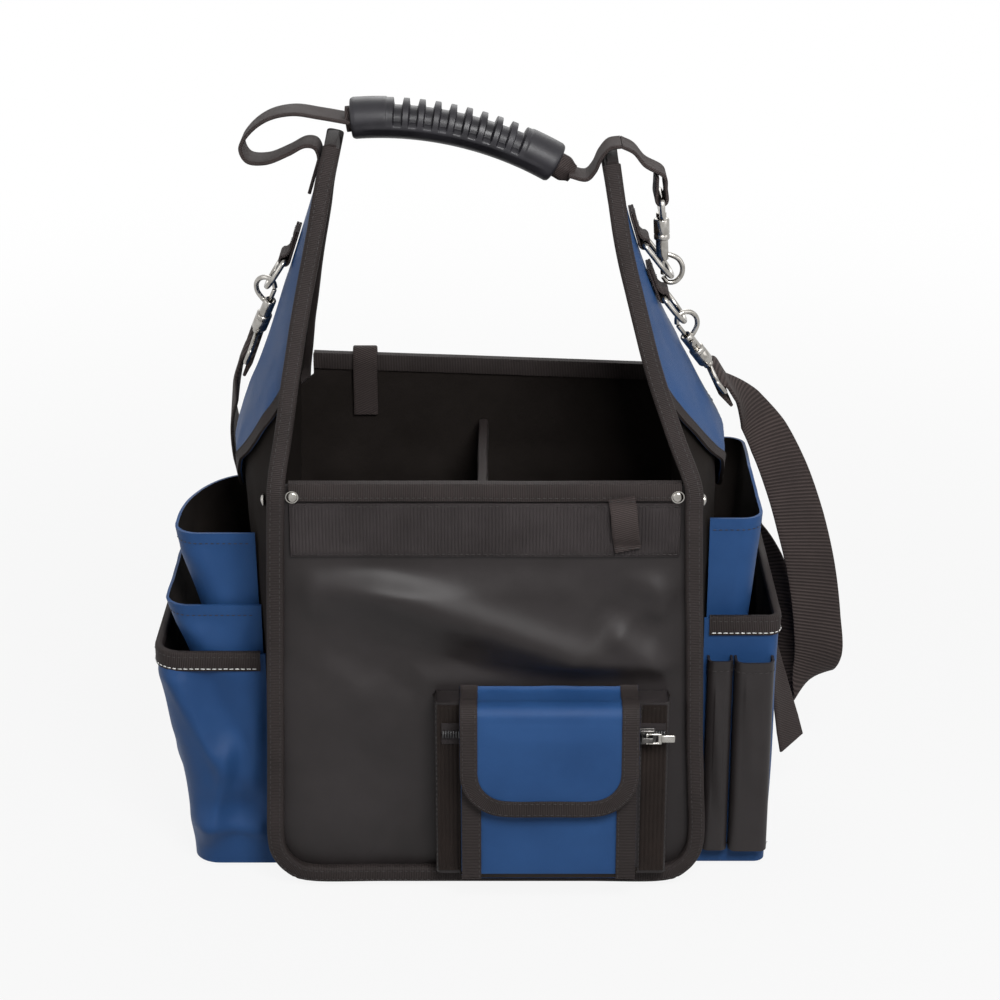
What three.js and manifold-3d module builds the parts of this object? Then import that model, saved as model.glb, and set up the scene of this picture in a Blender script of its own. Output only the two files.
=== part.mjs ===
// Open-top tool bag with gable ends, carrying grip, side pockets and a clip-on shoulder strap.
// Millimetres, +Z up, front of the bag towards -Y, origin at the middle of the base's rest face.
import * as THREE from "three";
import Module from "manifold-3d";

const wasm = await Module();
wasm.setup();

// Driving sizes of the body
const baseHalfWidth = 124; // to the middle of the edge binding, at the floor
const rimHalfWidth = 116;
const halfDepth = 98;
const rimHeight = 252;
const apexHalfDepth = 14;
const cornerRadius = 24;
const panelThick = 3;
const clothThick = 1.8;
const coverThick = 1.6;
const webThick = 2;
const gap = 0.4;
const bindingWidth = 10;
const bindingDepth = 7;

// Driving sizes of the handle and strap
const gripStart = [-75.5, 436.5];
const gripEnd = [40, 410.5];
const gripRise = 9;
const gripSlots = 9;
const gripCollars = [22, 21]; // plain lengths at the left and right ends
const handleWidth = 25;
const strapWidth = 32;
const wire = 1.6;

// The two sides differ: the bag leans and its gables bow by different amounts.
const left = { sign: -1, apexX: 86, apexZ: 424, sag: 2, bow: 27 };
const right = { sign: 1, apexX: 71, apexZ: 414, sag: -6, bow: 20 };

const v3 = (x, y, z) => new THREE.Vector3(x, y, z);
const v2 = (x, y) => new THREE.Vector2(x, y);
const lerp = THREE.MathUtils.lerp;
const group = new THREE.Group();
group.name = "tool_bag";

const makeMaterial = (color, roughness, metalness) =>
  new THREE.MeshStandardMaterial({ color, roughness, metalness });
const looks = {
  black: () => makeMaterial(0x1d1d20, 0.6, 0),
  lining: () => makeMaterial(0x161618, 0.9, 0),
  blue: () => makeMaterial(0x1f4a8f, 0.7, 0),
  binding: () => makeMaterial(0x3a3739, 0.85, 0),
  webbing: () => makeMaterial(0x2b2829, 0.9, 0),
  plastic: () => makeMaterial(0x3a393d, 0.5, 0),
  nickel: () => makeMaterial(0xc9c9c6, 0.25, 1),
};

function put(name, geometry, look, parent = group) {
  const mesh = new THREE.Mesh(geometry, looks[look]());
  mesh.name = name;
  parent.add(mesh);
  return mesh;
}

// Solid work

function fromTriangles(points, faces) {
  const geometry = new THREE.BufferGeometry();
  const flat = new Float32Array(points.length * 3);
  points.forEach((p, i) => p.toArray(flat, i * 3));
  geometry.setAttribute("position", new THREE.BufferAttribute(flat, 3));
  let volume = 0;
  for (let i = 0; i < faces.length; i += 3) {
    const [a, b, c] = [points[faces[i]], points[faces[i + 1]], points[faces[i + 2]]];
    volume += a.dot(b.clone().cross(c));
  }
  const ordered = volume < 0 ? faces.slice().reverse() : faces;
  geometry.setIndex(ordered);
  geometry.computeVertexNormals();
  return geometry;
}

function toSolid(geometry) {
  const position = geometry.getAttribute("position");
  const index = geometry.index ? Array.from(geometry.index.array) : [...Array(position.count).keys()];
  const mesh = new wasm.Mesh({
    numProp: 3,
    vertProperties: new Float32Array(position.array),
    triVerts: new Uint32Array(index),
  });
  mesh.merge();
  return new wasm.Manifold(mesh);
}

function fromSolid(solid) {
  const mesh = solid.getMesh();
  const geometry = new THREE.BufferGeometry();
  geometry.setAttribute("position", new THREE.BufferAttribute(new Float32Array(mesh.vertProperties), 3));
  geometry.setIndex(new THREE.BufferAttribute(new Uint32Array(mesh.triVerts), 1));
  geometry.computeVertexNormals();
  return geometry;
}

const join = (...parts) => fromSolid(parts.map(toSolid).reduce((a, b) => a.add(b)));
const cut = (body, ...tools) => fromSolid(tools.map(toSolid).reduce((a, b) => a.subtract(b), toSolid(body)));

function box(x0, x1, y0, y1, z0, z1) {
  const geometry = new THREE.BoxGeometry(x1 - x0, y1 - y0, z1 - z0);
  geometry.translate((x0 + x1) / 2, (y0 + y1) / 2, (z0 + z1) / 2);
  return geometry;
}

// A rod or stepped turning about Z, from its outline as [radius, z] pairs.
function turning(outline, sides = 12) {
  const geometry = new THREE.LatheGeometry(outline.map(([r, z]) => v2(r, z)), sides);
  geometry.rotateX(Math.PI / 2);
  return geometry;
}

const rod = (r, z0, z1, sides = 12) => turning([[0, z0], [r, z0], [r, z1], [0, z1]], sides);

// A cloth sheet: rows of points on its outer face, thickened against the face normal.
function sheet(rows, thick) {
  const m = rows.length;
  const n = rows[0].length;
  const normals = rows.map((row) => row.map(() => v3(0, 0, 0)));
  const faceNormals = rows.map((row) => row.map(() => []));
  for (let i = 0; i < m - 1; i += 1) {
    for (let j = 0; j < n - 1; j += 1) {
      const across = rows[i + 1][j + 1].clone().sub(rows[i][j]);
      const back = rows[i + 1][j].clone().sub(rows[i][j + 1]);
      const normal = across.cross(back).normalize();
      for (const [p, q] of [[i, j], [i + 1, j], [i, j + 1], [i + 1, j + 1]]) {
        normals[p][q].add(normal);
        faceNormals[p][q].push(normal);
      }
    }
  }
  const points = rows.flat().map((p) => p.clone());
  for (let i = 0; i < m; i += 1) {
    for (let j = 0; j < n; j += 1) {
      const normal = normals[i][j].normalize();
      const even = faceNormals[i][j].reduce((sum, f) => sum + f.dot(normal), 0) / faceNormals[i][j].length;
      points.push(rows[i][j].clone().addScaledVector(normal, -thick / Math.max(0.6, even)));
    }
  }
  const faces = [];
  const quad = (a, b, c, d) => faces.push(a, b, c, a, c, d);
  const outer = (i, j) => i * n + j;
  const inner = (i, j) => m * n + i * n + j;
  for (let i = 0; i < m - 1; i += 1) {
    for (let j = 0; j < n - 1; j += 1) {
      quad(outer(i, j), outer(i, j + 1), outer(i + 1, j + 1), outer(i + 1, j));
      quad(inner(i, j), inner(i + 1, j), inner(i + 1, j + 1), inner(i, j + 1));
    }
    quad(outer(i, 0), outer(i + 1, 0), inner(i + 1, 0), inner(i, 0));
    quad(outer(i, n - 1), inner(i, n - 1), inner(i + 1, n - 1), outer(i + 1, n - 1));
  }
  for (let j = 0; j < n - 1; j += 1) {
    quad(outer(0, j), inner(0, j), inner(0, j + 1), outer(0, j + 1));
    quad(outer(m - 1, j), outer(m - 1, j + 1), inner(m - 1, j + 1), inner(m - 1, j));
  }
  return fromTriangles(points, faces);
}

// A section carried along a path. face(i) gives the direction the section's second axis keeps to.
function sweep(path, section, face, closed = false) {
  const count = path.length;
  const sides = section.length;
  const points = [];
  for (let i = 0; i < count; i += 1) {
    const before = closed ? path[(i + count - 1) % count] : path[Math.max(0, i - 1)];
    const after = closed ? path[(i + 1) % count] : path[Math.min(count - 1, i + 1)];
    const along = after.clone().sub(before).normalize();
    const up = face(i, along).clone();
    up.addScaledVector(along, -up.dot(along)).normalize();
    const across = up.clone().cross(along);
    for (const s of section) {
      points.push(path[i].clone().addScaledVector(across, s.x).addScaledVector(up, s.y));
    }
  }
  const faces = [];
  const rings = closed ? count : count - 1;
  for (let i = 0; i < rings; i += 1) {
    const a = i * sides;
    const b = ((i + 1) % count) * sides;
    for (let j = 0; j < sides; j += 1) {
      const k = (j + 1) % sides;
      faces.push(a + j, a + k, b + k, a + j, b + k, b + j);
    }
  }
  if (!closed) {
    const last = (count - 1) * sides;
    for (const [p, q, r] of THREE.ShapeUtils.triangulateShape(section, [])) {
      faces.push(p, r, q, last + p, last + q, last + r);
    }
  }
  return fromTriangles(points, faces);
}

const keep = (direction) => () => direction;
const alongY = v3(0, 1, 0);
const alongZ = v3(0, 0, 1);

function roundSection(radius, sides) {
  return [...Array(sides).keys()].map((i) => {
    const turn = (2 * Math.PI * i) / sides;
    return v2(radius * Math.cos(turn), radius * Math.sin(turn));
  });
}

const flatSection = (width, thick) => [
  v2(-width / 2, -thick / 2), v2(width / 2, -thick / 2), v2(width / 2, thick / 2), v2(-width / 2, thick / 2),
];

function softSection(width, thick, chamfer) {
  const [w, t, c] = [width / 2, thick / 2, chamfer];
  return [
    v2(-w + c, -t), v2(w - c, -t), v2(w, -t + c), v2(w, t - c),
    v2(w - c, t), v2(-w + c, t), v2(-w, t - c), v2(-w, -t + c),
  ];
}

const smooth = (points, steps, closed = false) => {
  const dots = new THREE.CatmullRomCurve3(points, closed, "centripetal").getSpacedPoints(steps);
  return closed ? dots.slice(0, -1) : dots;
};

function prism(outline, holes, depth) {
  const shape = new THREE.Shape(outline);
  shape.holes = holes.map((hole) => new THREE.Path(hole));
  return new THREE.ExtrudeGeometry(shape, { depth, bevelEnabled: false, curveSegments: 8 });
}

// Shape of the bag's walls

const aboveRim = (side, z) => Math.max(0, (z - rimHeight) / (side.apexZ - rimHeight));

function edgeX(side, z) {
  const k = aboveRim(side, z);
  if (k > 0) return lerp(rimHalfWidth, side.apexX, k) + 4 * side.sag * k * (1 - k);
  const rise = cornerRadius - Math.min(z, cornerRadius);
  const tuck = cornerRadius - Math.sqrt(cornerRadius ** 2 - rise ** 2);
  return lerp(baseHalfWidth, rimHalfWidth, z / rimHeight) - tuck;
}

const depthAt = (side, z) => lerp(halfDepth, apexHalfDepth, aboveRim(side, z));

function bowAt(side, z) {
  const k = aboveRim(side, z);
  return k > 0 ? side.bow * (1 - k) ** 1.4 : side.bow * (z / rimHeight) ** 0.8;
}

// Distance of the side wall's middle surface from the bag's middle plane.
function wallX(side, y, z) {
  const t = Math.min(1, Math.abs(y) / depthAt(side, z));
  return edgeX(side, z) + bowAt(side, z) * (1 - t * t);
}

const steps = (from, to, count) => [...Array(count + 1).keys()].map((i) => lerp(from, to, i / count));

// Body panels

const panelFoot = 3.4;
put("base_panel", (() => {
  const [w, d, r] = [114, 96, 14];
  const shape = new THREE.Shape();
  shape.moveTo(-w + r, -d);
  shape.absarc(w - r, -d + r, r, -Math.PI / 2, 0);
  shape.absarc(w - r, d - r, r, 0, Math.PI / 2);
  shape.absarc(-w + r, d - r, r, Math.PI / 2, Math.PI);
  shape.absarc(-w + r, -d + r, r, Math.PI, 1.5 * Math.PI);
  return new THREE.ExtrudeGeometry(shape, { depth: 3, bevelEnabled: false, curveSegments: 5 });
})(), "black");
put("base_board", box(-109, 109, -92, 92, 3.4, 6.4), "lining");

// The back panel stands higher than the front and slopes down to the right; above the rim it ends short
// of the edge bindings.
const backTop = (x) => rimHeight + 9 - 0.038 * x;
const backSpan = [-108.5, 106.8];
function endPanel(facing) {
  const across = steps(-1, 1, 6).map((u) => -facing * u);
  const row = (z) => across.map((u) => v3(u * (edgeX(right, z) + 2), facing * halfDepth, z));
  const rows = [panelFoot, 8, 15, 24, 80, 150, 205].map(row);
  if (facing < 0) {
    return sheet([...rows, row(rimHeight)], panelThick);
  }
  const spots = across.map((u) => lerp(backSpan[0], backSpan[1], (u + 1) / 2));
  const clear = spots.map((x) => v3(x, halfDepth, rimHeight - 0.5));
  const top = spots.map((x) => v3(x, halfDepth, backTop(x)));
  return sheet([...rows, row(246), clear, top], panelThick);
}
put("front_panel", endPanel(-1), "black");
put("back_panel", endPanel(1), "black");

// Side walls run from the base up into the gables.
const wallEdge = (side, z) => (z < rimHeight + 8 ? halfDepth - panelThick - gap : depthAt(side, z));
function wallRows(side, heights, columns, offset) {
  return heights.map((z) => steps(-1, 1, columns).map((t) => {
    const y = side.sign * t * wallEdge(side, z);
    return v3(side.sign * (wallX(side, y, z) + offset), y, z);
  }));
}
const wallHeights = [panelFoot, 8, 15, 24, 110, 170, 215, rimHeight, rimHeight + 7.9, 280, 310, 345, 385];
function sideWall(side) {
  const rows = wallRows(side, [...wallHeights, side.apexZ], 10, panelThick / 2);
  return sheet(rows, panelThick);
}

put("left_side_panel", sideWall(left), "black");
put("right_side_panel", sideWall(right), "black");

// Blue covers on the gables, with a scooped lower edge that is deepest half way along the bag.
const scoopLow = 216;
const scoopRise = 72;
const coverOut = panelThick / 2 + 0.6 + coverThick;
function gableCover(side) {
  const heights = [...wallHeights.filter((z) => z > 200), side.apexZ];
  const body = sheet(wallRows(side, heights, 10, coverOut), coverThick);
  const outline = steps(-1, 1, 16).map((t) => v2(100 * t, scoopLow + scoopRise * Math.abs(t * 1.1) ** 1.4));
  const scoop = prism([v2(-100, 180), v2(100, 180), ...outline.reverse()], [], 120);
  scoop.rotateX(Math.PI / 2);
  scoop.rotateZ(Math.PI / 2);
  scoop.translate(side.sign < 0 ? -180 : 60, 0, 0);
  return cut(body, scoop);
}
put("left_gable_cover", gableCover(left), "blue");
put("right_gable_cover", gableCover(right), "blue");

// Divider across the middle, with a folded binding over its top edge
const dividerTop = 222;
put("centre_divider", box(-3.2, -0.8, -93, 93, 6.8, dividerTop), "lining");
put("divider_binding", (() => {
  const outline = [
    v2(-5, -8), v2(-3.6, -8), v2(-3.6, 0.4), v2(-0.4, 0.4), v2(-0.4, -8), v2(1, -8), v2(1, 1.8), v2(-5, 1.8),
  ];
  const geometry = prism(outline, [], 180);
  geometry.rotateX(Math.PI / 2);
  geometry.translate(0, 90, dividerTop);
  return geometry;
})(), "binding");

// Rim bindings fold over the top edges of the front and back panels.
function rimBinding(facing) {
  const outer = 1.8;
  const inner = -panelThick - 1.8;
  const fold = [
    v2(inner, -8.6), v2(inner + 1.4, -8.6), v2(inner + 1.4, 0.4), v2(outer - 1.4, 0.4),
    v2(outer - 1.4, -8.6), v2(outer, -8.6), v2(outer, 1.8), v2(inner, 1.8),
  ];
  const front = [109.5, -109.5].map((x) => v3(x, -halfDepth, rimHeight));
  const back = [backSpan[0] + 0.5, backSpan[1] - 0.5].map((x) => v3(x, halfDepth, backTop(x)));
  return sweep(facing < 0 ? front : back, fold, keep(alongZ));
}
put("front_rim_binding", rimBinding(-1), "binding");
put("back_rim_binding", rimBinding(1), "binding");

// Edge bindings frame the end panels and run up the gable edges to both apexes.
const bindingMid = halfDepth + gap + bindingDepth / 2 + 0.5;
function edgeBinding(facing) {
  const apexMid = apexHalfDepth + gap + bindingDepth / 2 + 0.5;
  const reach = (side, z) => lerp(bindingMid, apexMid, aboveRim(side, z));
  const climb = [1, 0.8, 0.57, 0.34, 0.14, 0];
  const bend = 22;
  const foot = 8.5;
  const down = (side) => {
    const heights = [...climb.map((k) => lerp(rimHeight, side.apexZ, k)), 235, 120, 32];
    const run = heights.map((z) => v3(side.sign * edgeX(side, z), facing * reach(side, z), z));
    const middle = edgeX(side, 32) - bend;
    for (const turn of [22, 45, 68, 90]) {
      const a = THREE.MathUtils.degToRad(turn);
      const x = middle + bend * Math.cos(a);
      run.push(v3(side.sign * x, facing * bindingMid, 32 - (32 - foot) * Math.sin(a)));
    }
    return run;
  };
  const path = [...down(left), v3(0, facing * bindingMid, foot), ...down(right).reverse()];
  return sweep(path, softSection(bindingWidth, bindingDepth, 2), keep(alongY));
}
put("front_edge_binding", edgeBinding(-1), "binding");
put("back_edge_binding", edgeBinding(1), "binding");

// Webbing band under the rim and the small tab sewn over it, front and back
const bandFace = halfDepth + gap + webThick;
function band(facing) {
  const near = facing * (halfDepth + gap);
  const far = facing * bandFace;
  return box(-109, 109, Math.min(near, far), Math.max(near, far), 210, 242);
}
put("front_band", band(-1), "webbing");
put("back_band", band(1), "webbing");

function bandTab(facing) {
  const out = bandFace + gap + webThick / 2;
  const heights = [[246, 0], [242, 0], [237, 1.8], [230, 2.6], [223, 1.8], [218, 0], [215, 0]];
  const raised = facing < 0 ? 0 : 12;
  const path = heights.map(([z, lift], i) => v3(-facing * (76 + 0.7 * i), facing * (out + lift), z + raised));
  return sweep(path, flatSection(15, webThick), keep(alongY));
}
put("front_tab", bandTab(-1), "webbing");
put("back_tab", bandTab(1), "webbing");

// Pockets: a wall that runs round three sides, with a bottom, open at the top.
// Points are (along, out, height); frames below turn them to the bag's front or sides.
const facing = {
  front: (a, n, z) => v3(a, -n, z),
  left: (a, n, z) => v3(-n, -a, z),
  right: (a, n, z) => v3(n, a, z),
};

// A corner of a pocket's plan: up the short side from the wall and round to the front. A sweep longer than
// the radius draws the corner out along the wall.
function pocketCorner(start, inward, back, out, radius, sweepOut) {
  const long = Math.max(radius, sweepOut);
  const deep = sweepOut > radius ? Math.max(radius, out - back - 1) : radius;
  const plan = [[start, back], [start, out - deep]];
  for (const turn of sweepOut > radius ? [22, 45, 68] : [30, 60]) {
    const r = THREE.MathUtils.degToRad(turn);
    plan.push([start + inward * long * (1 - Math.cos(r)), out - deep + deep * Math.sin(r)]);
  }
  plan.push([start + inward * long, out]);
  return plan;
}

function pocketPlan(a0, a1, back, out, radius, sweepOut = 0) {
  const first = pocketCorner(a0, 1, back(a0), out, radius, sweepOut);
  const last = pocketCorner(a1, -1, back(a1), out, radius, 0).reverse();
  const [from, to] = [first.at(-1)[0], last[0][0]];
  return [...first, [lerp(from, to, 0.38), out], [lerp(from, to, 0.62), out], ...last];
}

function outAt(levels, z) {
  const k = Math.max(1, levels.findIndex(([height]) => height >= z));
  const [[z0, out0], [z1, out1]] = [levels[k - 1], levels[k]];
  return lerp(out0, out1, (z - z0) / (z1 - z0));
}

function pocket(place, spec) {
  const [a0, a1] = spec.span;
  const [low, high] = [spec.levels[0][0], spec.levels.at(-1)[0]];
  const between = spec.onWall ? wallHeights.filter((z) => z > low + 2 && z < high - 2) : [];
  const heights = [...new Set([...spec.levels.map(([z]) => z), ...between])].sort((p, q) => p - q);
  const rows = heights.map((z) => [z, outAt(spec.levels, z)]).map(([z, out]) =>
    pocketPlan(a0, a1, (a) => spec.back(a, z), out, spec.radius, spec.sweepOut)
      .map(([a, n]) => place(a, n, z)));
  const count = rows[0].length;
  const closing = (z) => steps(a0 + 3, a1 - 3, count - 1).map((a) => place(a, spec.back(a, z), z));
  rows.unshift(closing(spec.levels[0][0]));
  if (spec.lid) rows.push(closing(spec.levels.at(-1)[0]));
  return sheet(rows, clothThick);
}

const onWall = (side) => (a, z) => wallX(side, a, Math.max(z, 9)) + panelThick / 2 + 0.8;
const leftLower = {
  span: [-80, 80], radius: 16, back: onWall(left), onWall: true,
  levels: [[2, 171], [50, 175], [95, 182], [140, 192]],
};
const leftMiddle = {
  span: [-73, 73], radius: 14, back: onWall(left), onWall: true,
  levels: [[70, 150], [140, 175], [168, 187]],
};
const leftUpper = {
  span: [-30, 66], radius: 14, sweepOut: 70, back: onWall(left), onWall: true,
  levels: [[112, 152], [160, 166], [210, 180]],
};
const rightLower = {
  span: [-78, 78], radius: 7, back: onWall(right), onWall: true,
  levels: [[2, 167], [80, 170], [162, 170]],
};
const rightUpper = {
  span: [-68, 68], radius: 12, back: onWall(right), onWall: true,
  levels: [[112, 150], [220, 160]],
};
put("left_lower_pocket", pocket(facing.left, leftLower), "blue");
put("left_middle_pocket", pocket(facing.left, leftMiddle), "blue");
put("left_upper_pocket", pocket(facing.left, leftUpper), "blue");
put("right_lower_pocket", pocket(facing.right, rightLower), "blue");
put("right_upper_pocket", pocket(facing.right, rightUpper), "blue");

// A folded binding over a pocket's top edge, longer on the outside.
function pocketBinding(place, spec) {
  const [z, out] = spec.levels.at(-1);
  const half = clothThick / 2;
  const back = (a) => spec.back(a, z) + 3;
  const plan = pocketPlan(spec.span[0] + half, spec.span[1] - half, back, out - half, spec.radius - half);
  const path = plan.map(([a, n]) => place(a, n, z));
  const fold = [
    v2(-3, -10), v2(-1.7, -10), v2(-1.7, 0.4), v2(2.3, 0.4),
    v2(2.3, -4), v2(3.5, -4), v2(3.5, 1.6), v2(-3, 1.6),
  ];
  return sweep(path, fold, keep(alongZ));
}
put("left_lower_binding", pocketBinding(facing.left, leftLower), "black");
put("right_lower_binding", pocketBinding(facing.right, rightLower), "black");

// Tool sleeves on the front face of the right lower pocket
const sleeveBack = () => 78 + gap;
put("right_inner_sleeve", pocket(facing.front, {
  span: [128.5, 143.2], radius: 4, back: sleeveBack, levels: [[14, 86.5], [139, 88]],
}), "black");
put("right_outer_sleeve", pocket(facing.front, {
  span: [144.2, 167], radius: 5, back: sleeveBack, levels: [[14, 87.5], [139, 90]],
}), "black");

// Front pouch with a zip across it; a blue pocket under a flap stands on the pouch.
const pouchFace = halfDepth + gap + 16;
const pouchTop = 126;
const pouchBody = pocket(facing.front, {
  span: [-29, 105], radius: 4, back: () => halfDepth + gap, lid: true,
  levels: [[15, pouchFace], [pouchTop, pouchFace]],
});
const zipHeight = 107;
const zipGap = box(-20, 97, -pouchFace - 3, -pouchFace + 4, zipHeight - 2, zipHeight + 2);
put("front_pouch", cut(pouchBody, zipGap), "black");

const zipFace = pouchFace + gap + 1;
put("zip_tape", (() => {
  const tape = box(-25, 103, -zipFace, -pouchFace - gap, zipHeight - 6.5, zipHeight + 6.5);
  const coil = box(-24, 102, -zipFace - 1.6, -zipFace + 0.5, zipHeight - 2, zipHeight + 2);
  return join(tape, coil);
})(), "black");

// Zip slider, made about its own middle, with a bridge that the pull hangs under
const sliderX = 92;
const slider = new THREE.Group();
slider.name = "zip_slide";
slider.position.set(sliderX, -zipFace, zipHeight);
group.add(slider);
put("zip_slider", (() => {
  const body = box(-5, 5, -5, -0.4, -4.5, 4.5);
  const track = box(-6, 6, -2.1, 0, -2.5, 2.5);
  const bridge = cut(box(-3.6, 3.6, -8.8, -4.5, -1.5, 1.5), box(-2.4, 2.4, -7.6, -5, -2, 2));
  return join(cut(body, track), bridge);
})(), "nickel", slider);
put("zip_pull", (() => {
  const plate = box(-1, 16, -7, -5.6, -3.4, 3.4);
  const eye = box(1, 6.2, -8, -5, -2.2, 2.2);
  const hole = box(9, 14, -8, -5, -1.2, 1.2);
  return cut(plate, eye, hole);
})(), "nickel", slider);

const pocketBack = () => pouchFace + gap;
const pocketFace = pouchFace + gap + 9;
put("flap_pocket", pocket(facing.front, {
  span: [-14, 87], radius: 5, back: pocketBack, levels: [[17, pocketFace], [90, pocketFace]],
}), "blue");

// Flap: rooted over the zip, it rolls forward and hangs in front of the pocket.
const flapMid = 36.5;
const flapHalf = 51;
const flapFoot = 61;
const flapCorner = 27;
const flapFace = pocketFace + 5.4;
const flapRoot = pouchTop + 2.4; // the flap turns just above the pouch's top edge
const flapOutline = [
  [pouchFace + 1, flapRoot], [pouchFace + 6, flapRoot + 0.6], [flapFace - 4, flapRoot - 0.6],
  [flapFace - 1, flapRoot - 4], [flapFace, 118],
  [flapFace, 98], [flapFace, flapFoot + flapCorner], [flapFace, flapFoot + 16], [flapFace, flapFoot + 7],
  [flapFace, flapFoot + 1.5], [flapFace, flapFoot],
];
function flapReach(z) {
  const drop = Math.max(0, flapFoot + flapCorner - z);
  return flapHalf - flapCorner + Math.sqrt(Math.max(0, flapCorner ** 2 - drop ** 2));
}
put("flap", sheet(flapOutline.slice().reverse().map(([n, z]) =>
  steps(-1, 1, 6).map((u) => v3(flapMid + u * flapReach(z), -n, z))), 2), "blue");
put("flap_binding", (() => {
  const inset = 5.2;
  const bend = flapCorner - inset;
  const x = flapHalf - inset;
  const down = (sign) => {
    const run = [v3(flapMid + sign * x, 0, 117), v3(flapMid + sign * x, 0, flapFoot + flapCorner)];
    for (const turn of [22, 45, 68, 90]) {
      const a = THREE.MathUtils.degToRad(turn);
      const z = flapFoot + flapCorner - bend * Math.sin(a);
      run.push(v3(flapMid + sign * (x - bend + bend * Math.cos(a)), 0, z));
    }
    return run;
  };
  const path = [...down(-1), ...down(1).reverse()];
  path.forEach((p) => p.setY(-flapFace - 0.3 - 0.6));
  return sweep(path, flatSection(10, 1.2), keep(alongY));
})(), "binding");
put("loop_patch", box(18, 55, -pocketFace - 1.5, -pocketFace - 0.4, 68, 86), "lining");
put("hook_patch", box(18, 55, -pocketFace - 3, -pocketFace - 1.9, 68, 86), "lining");

// Clips: a webbing tab on the gable holds a ring, a swivel snap hook hangs in the ring, and its eye
// carries the webbing. Each clip is made in its own frame and turned into place.
const ringHalf = 13;
const eyeBar = 37.6;
const wireInHook = v3(5, 0, -10.2);

function ringShape(ringDrop) {
  const points = [v3(0, -ringHalf + 3, 0), v3(0, 0, 0), v3(0, ringHalf - 3, 0), v3(0, ringHalf - 0.6, -1)];
  const rise = ringDrop - ringHalf;
  points.push(v3(0, ringHalf, -3.5));
  for (const turn of [0, 22, 45, 68, 90, 112, 135, 158, 180]) {
    const a = THREE.MathUtils.degToRad(turn);
    points.push(v3(0, ringHalf * Math.cos(a), -rise - ringHalf * Math.sin(a)));
  }
  points.push(v3(0, -ringHalf, -3.5), v3(0, -ringHalf + 0.6, -1));
  return points;
}
const wireFace = (i, along) => (Math.abs(along.x) < 0.9 ? v3(1, 0, 0) : v3(0, 1, 0));

const tabShape = (() => {
  const outline = [];
  for (const turn of [180, 225, 270, 315, 0, 45, 80]) {
    const a = THREE.MathUtils.degToRad(turn);
    outline.push(v2(3.6 * Math.cos(a), 3.6 * Math.sin(a)));
  }
  outline.push(v2(-0.4, 5.4), v2(-0.6, 19), v2(-3.6, 19));
  const hole = roundSection(2, 10).reverse();
  const geometry = prism(outline, [hole], 21.6);
  geometry.rotateX(Math.PI / 2);
  geometry.translate(0, 10.8, 0);
  return geometry;
})();

const hookShape = (() => {
  const shank = rod(3.6, -0.6, 12.4, 10);
  const barrel = turning([[0, 11.4], [4.1, 11.4], [4.6, 12.2], [4.6, 23], [3.9, 24], [0, 24]], 11);
  const bend = smooth([
    v3(2.9, 0, 2.5), v3(5, 0, 1.8), v3(9.2, 0, -0.8), v3(11.4, 0, -5.4), v3(10.6, 0, -10.6),
    v3(7, 0, -14.2), v3(2.6, 0, -14.2), v3(0, 0, -10.8),
  ], 13);
  const hook = sweep(bend, roundSection(1.5, 7), keep(alongY));
  const boltWay = rod(1.75, -3, 11.2, 9);
  const thumbWay = box(-1.05, 1.05, 0, 5, 2.6, 11.2);
  const stemWay = rod(2.35, 19, 26, 10);
  const headWay = rod(3.4, 13.2, 20.2, 10);
  return cut(join(shank, barrel, hook), boltWay, thumbWay, stemWay, headWay);
})();

const boltShape = (() => {
  const pin = rod(1.35, -9.7, 4.6, 8);
  const stud = rod(0.75, 0, 5.4, 6);
  stud.rotateX(-Math.PI / 2);
  stud.translate(0, 0, 3.7);
  const thumb = turning([[0, 0], [1.4, 0], [1.7, 0.6], [1.7, 1.4], [1.2, 2], [0, 2]], 8);
  thumb.rotateX(-Math.PI / 2);
  thumb.translate(0, 4.4, 3.7);
  return join(pin, stud, thumb);
})();

function eyeShape(width) {
  const half = width / 2 + 1 + wire;
  const low = 27.6;
  const loop = [
    v3(0, -half + 2.5, low), v3(0, 0, low), v3(0, half - 2.5, low), v3(0, half - 0.6, low + 0.8),
    v3(0, half, low + 2.6), v3(0, half, eyeBar - 2.6), v3(0, half - 0.6, eyeBar - 0.8),
    v3(0, half - 2.5, eyeBar), v3(0, 0, eyeBar), v3(0, -half + 2.5, eyeBar),
    v3(0, -half + 0.6, eyeBar - 0.8), v3(0, -half, eyeBar - 2.6), v3(0, -half, low + 2.6),
    v3(0, -half + 0.6, low + 0.8),
  ];
  const ring = sweep(loop, roundSection(wire, 7), wireFace, true);
  const stem = turning([
    [0, 13.8], [3, 13.8], [3, 16.6], [2, 17.4], [2, 24.4], [3, 24.8], [3, 27.4], [0, 27.4],
  ], 9);
  return join(ring, stem);
}

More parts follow.
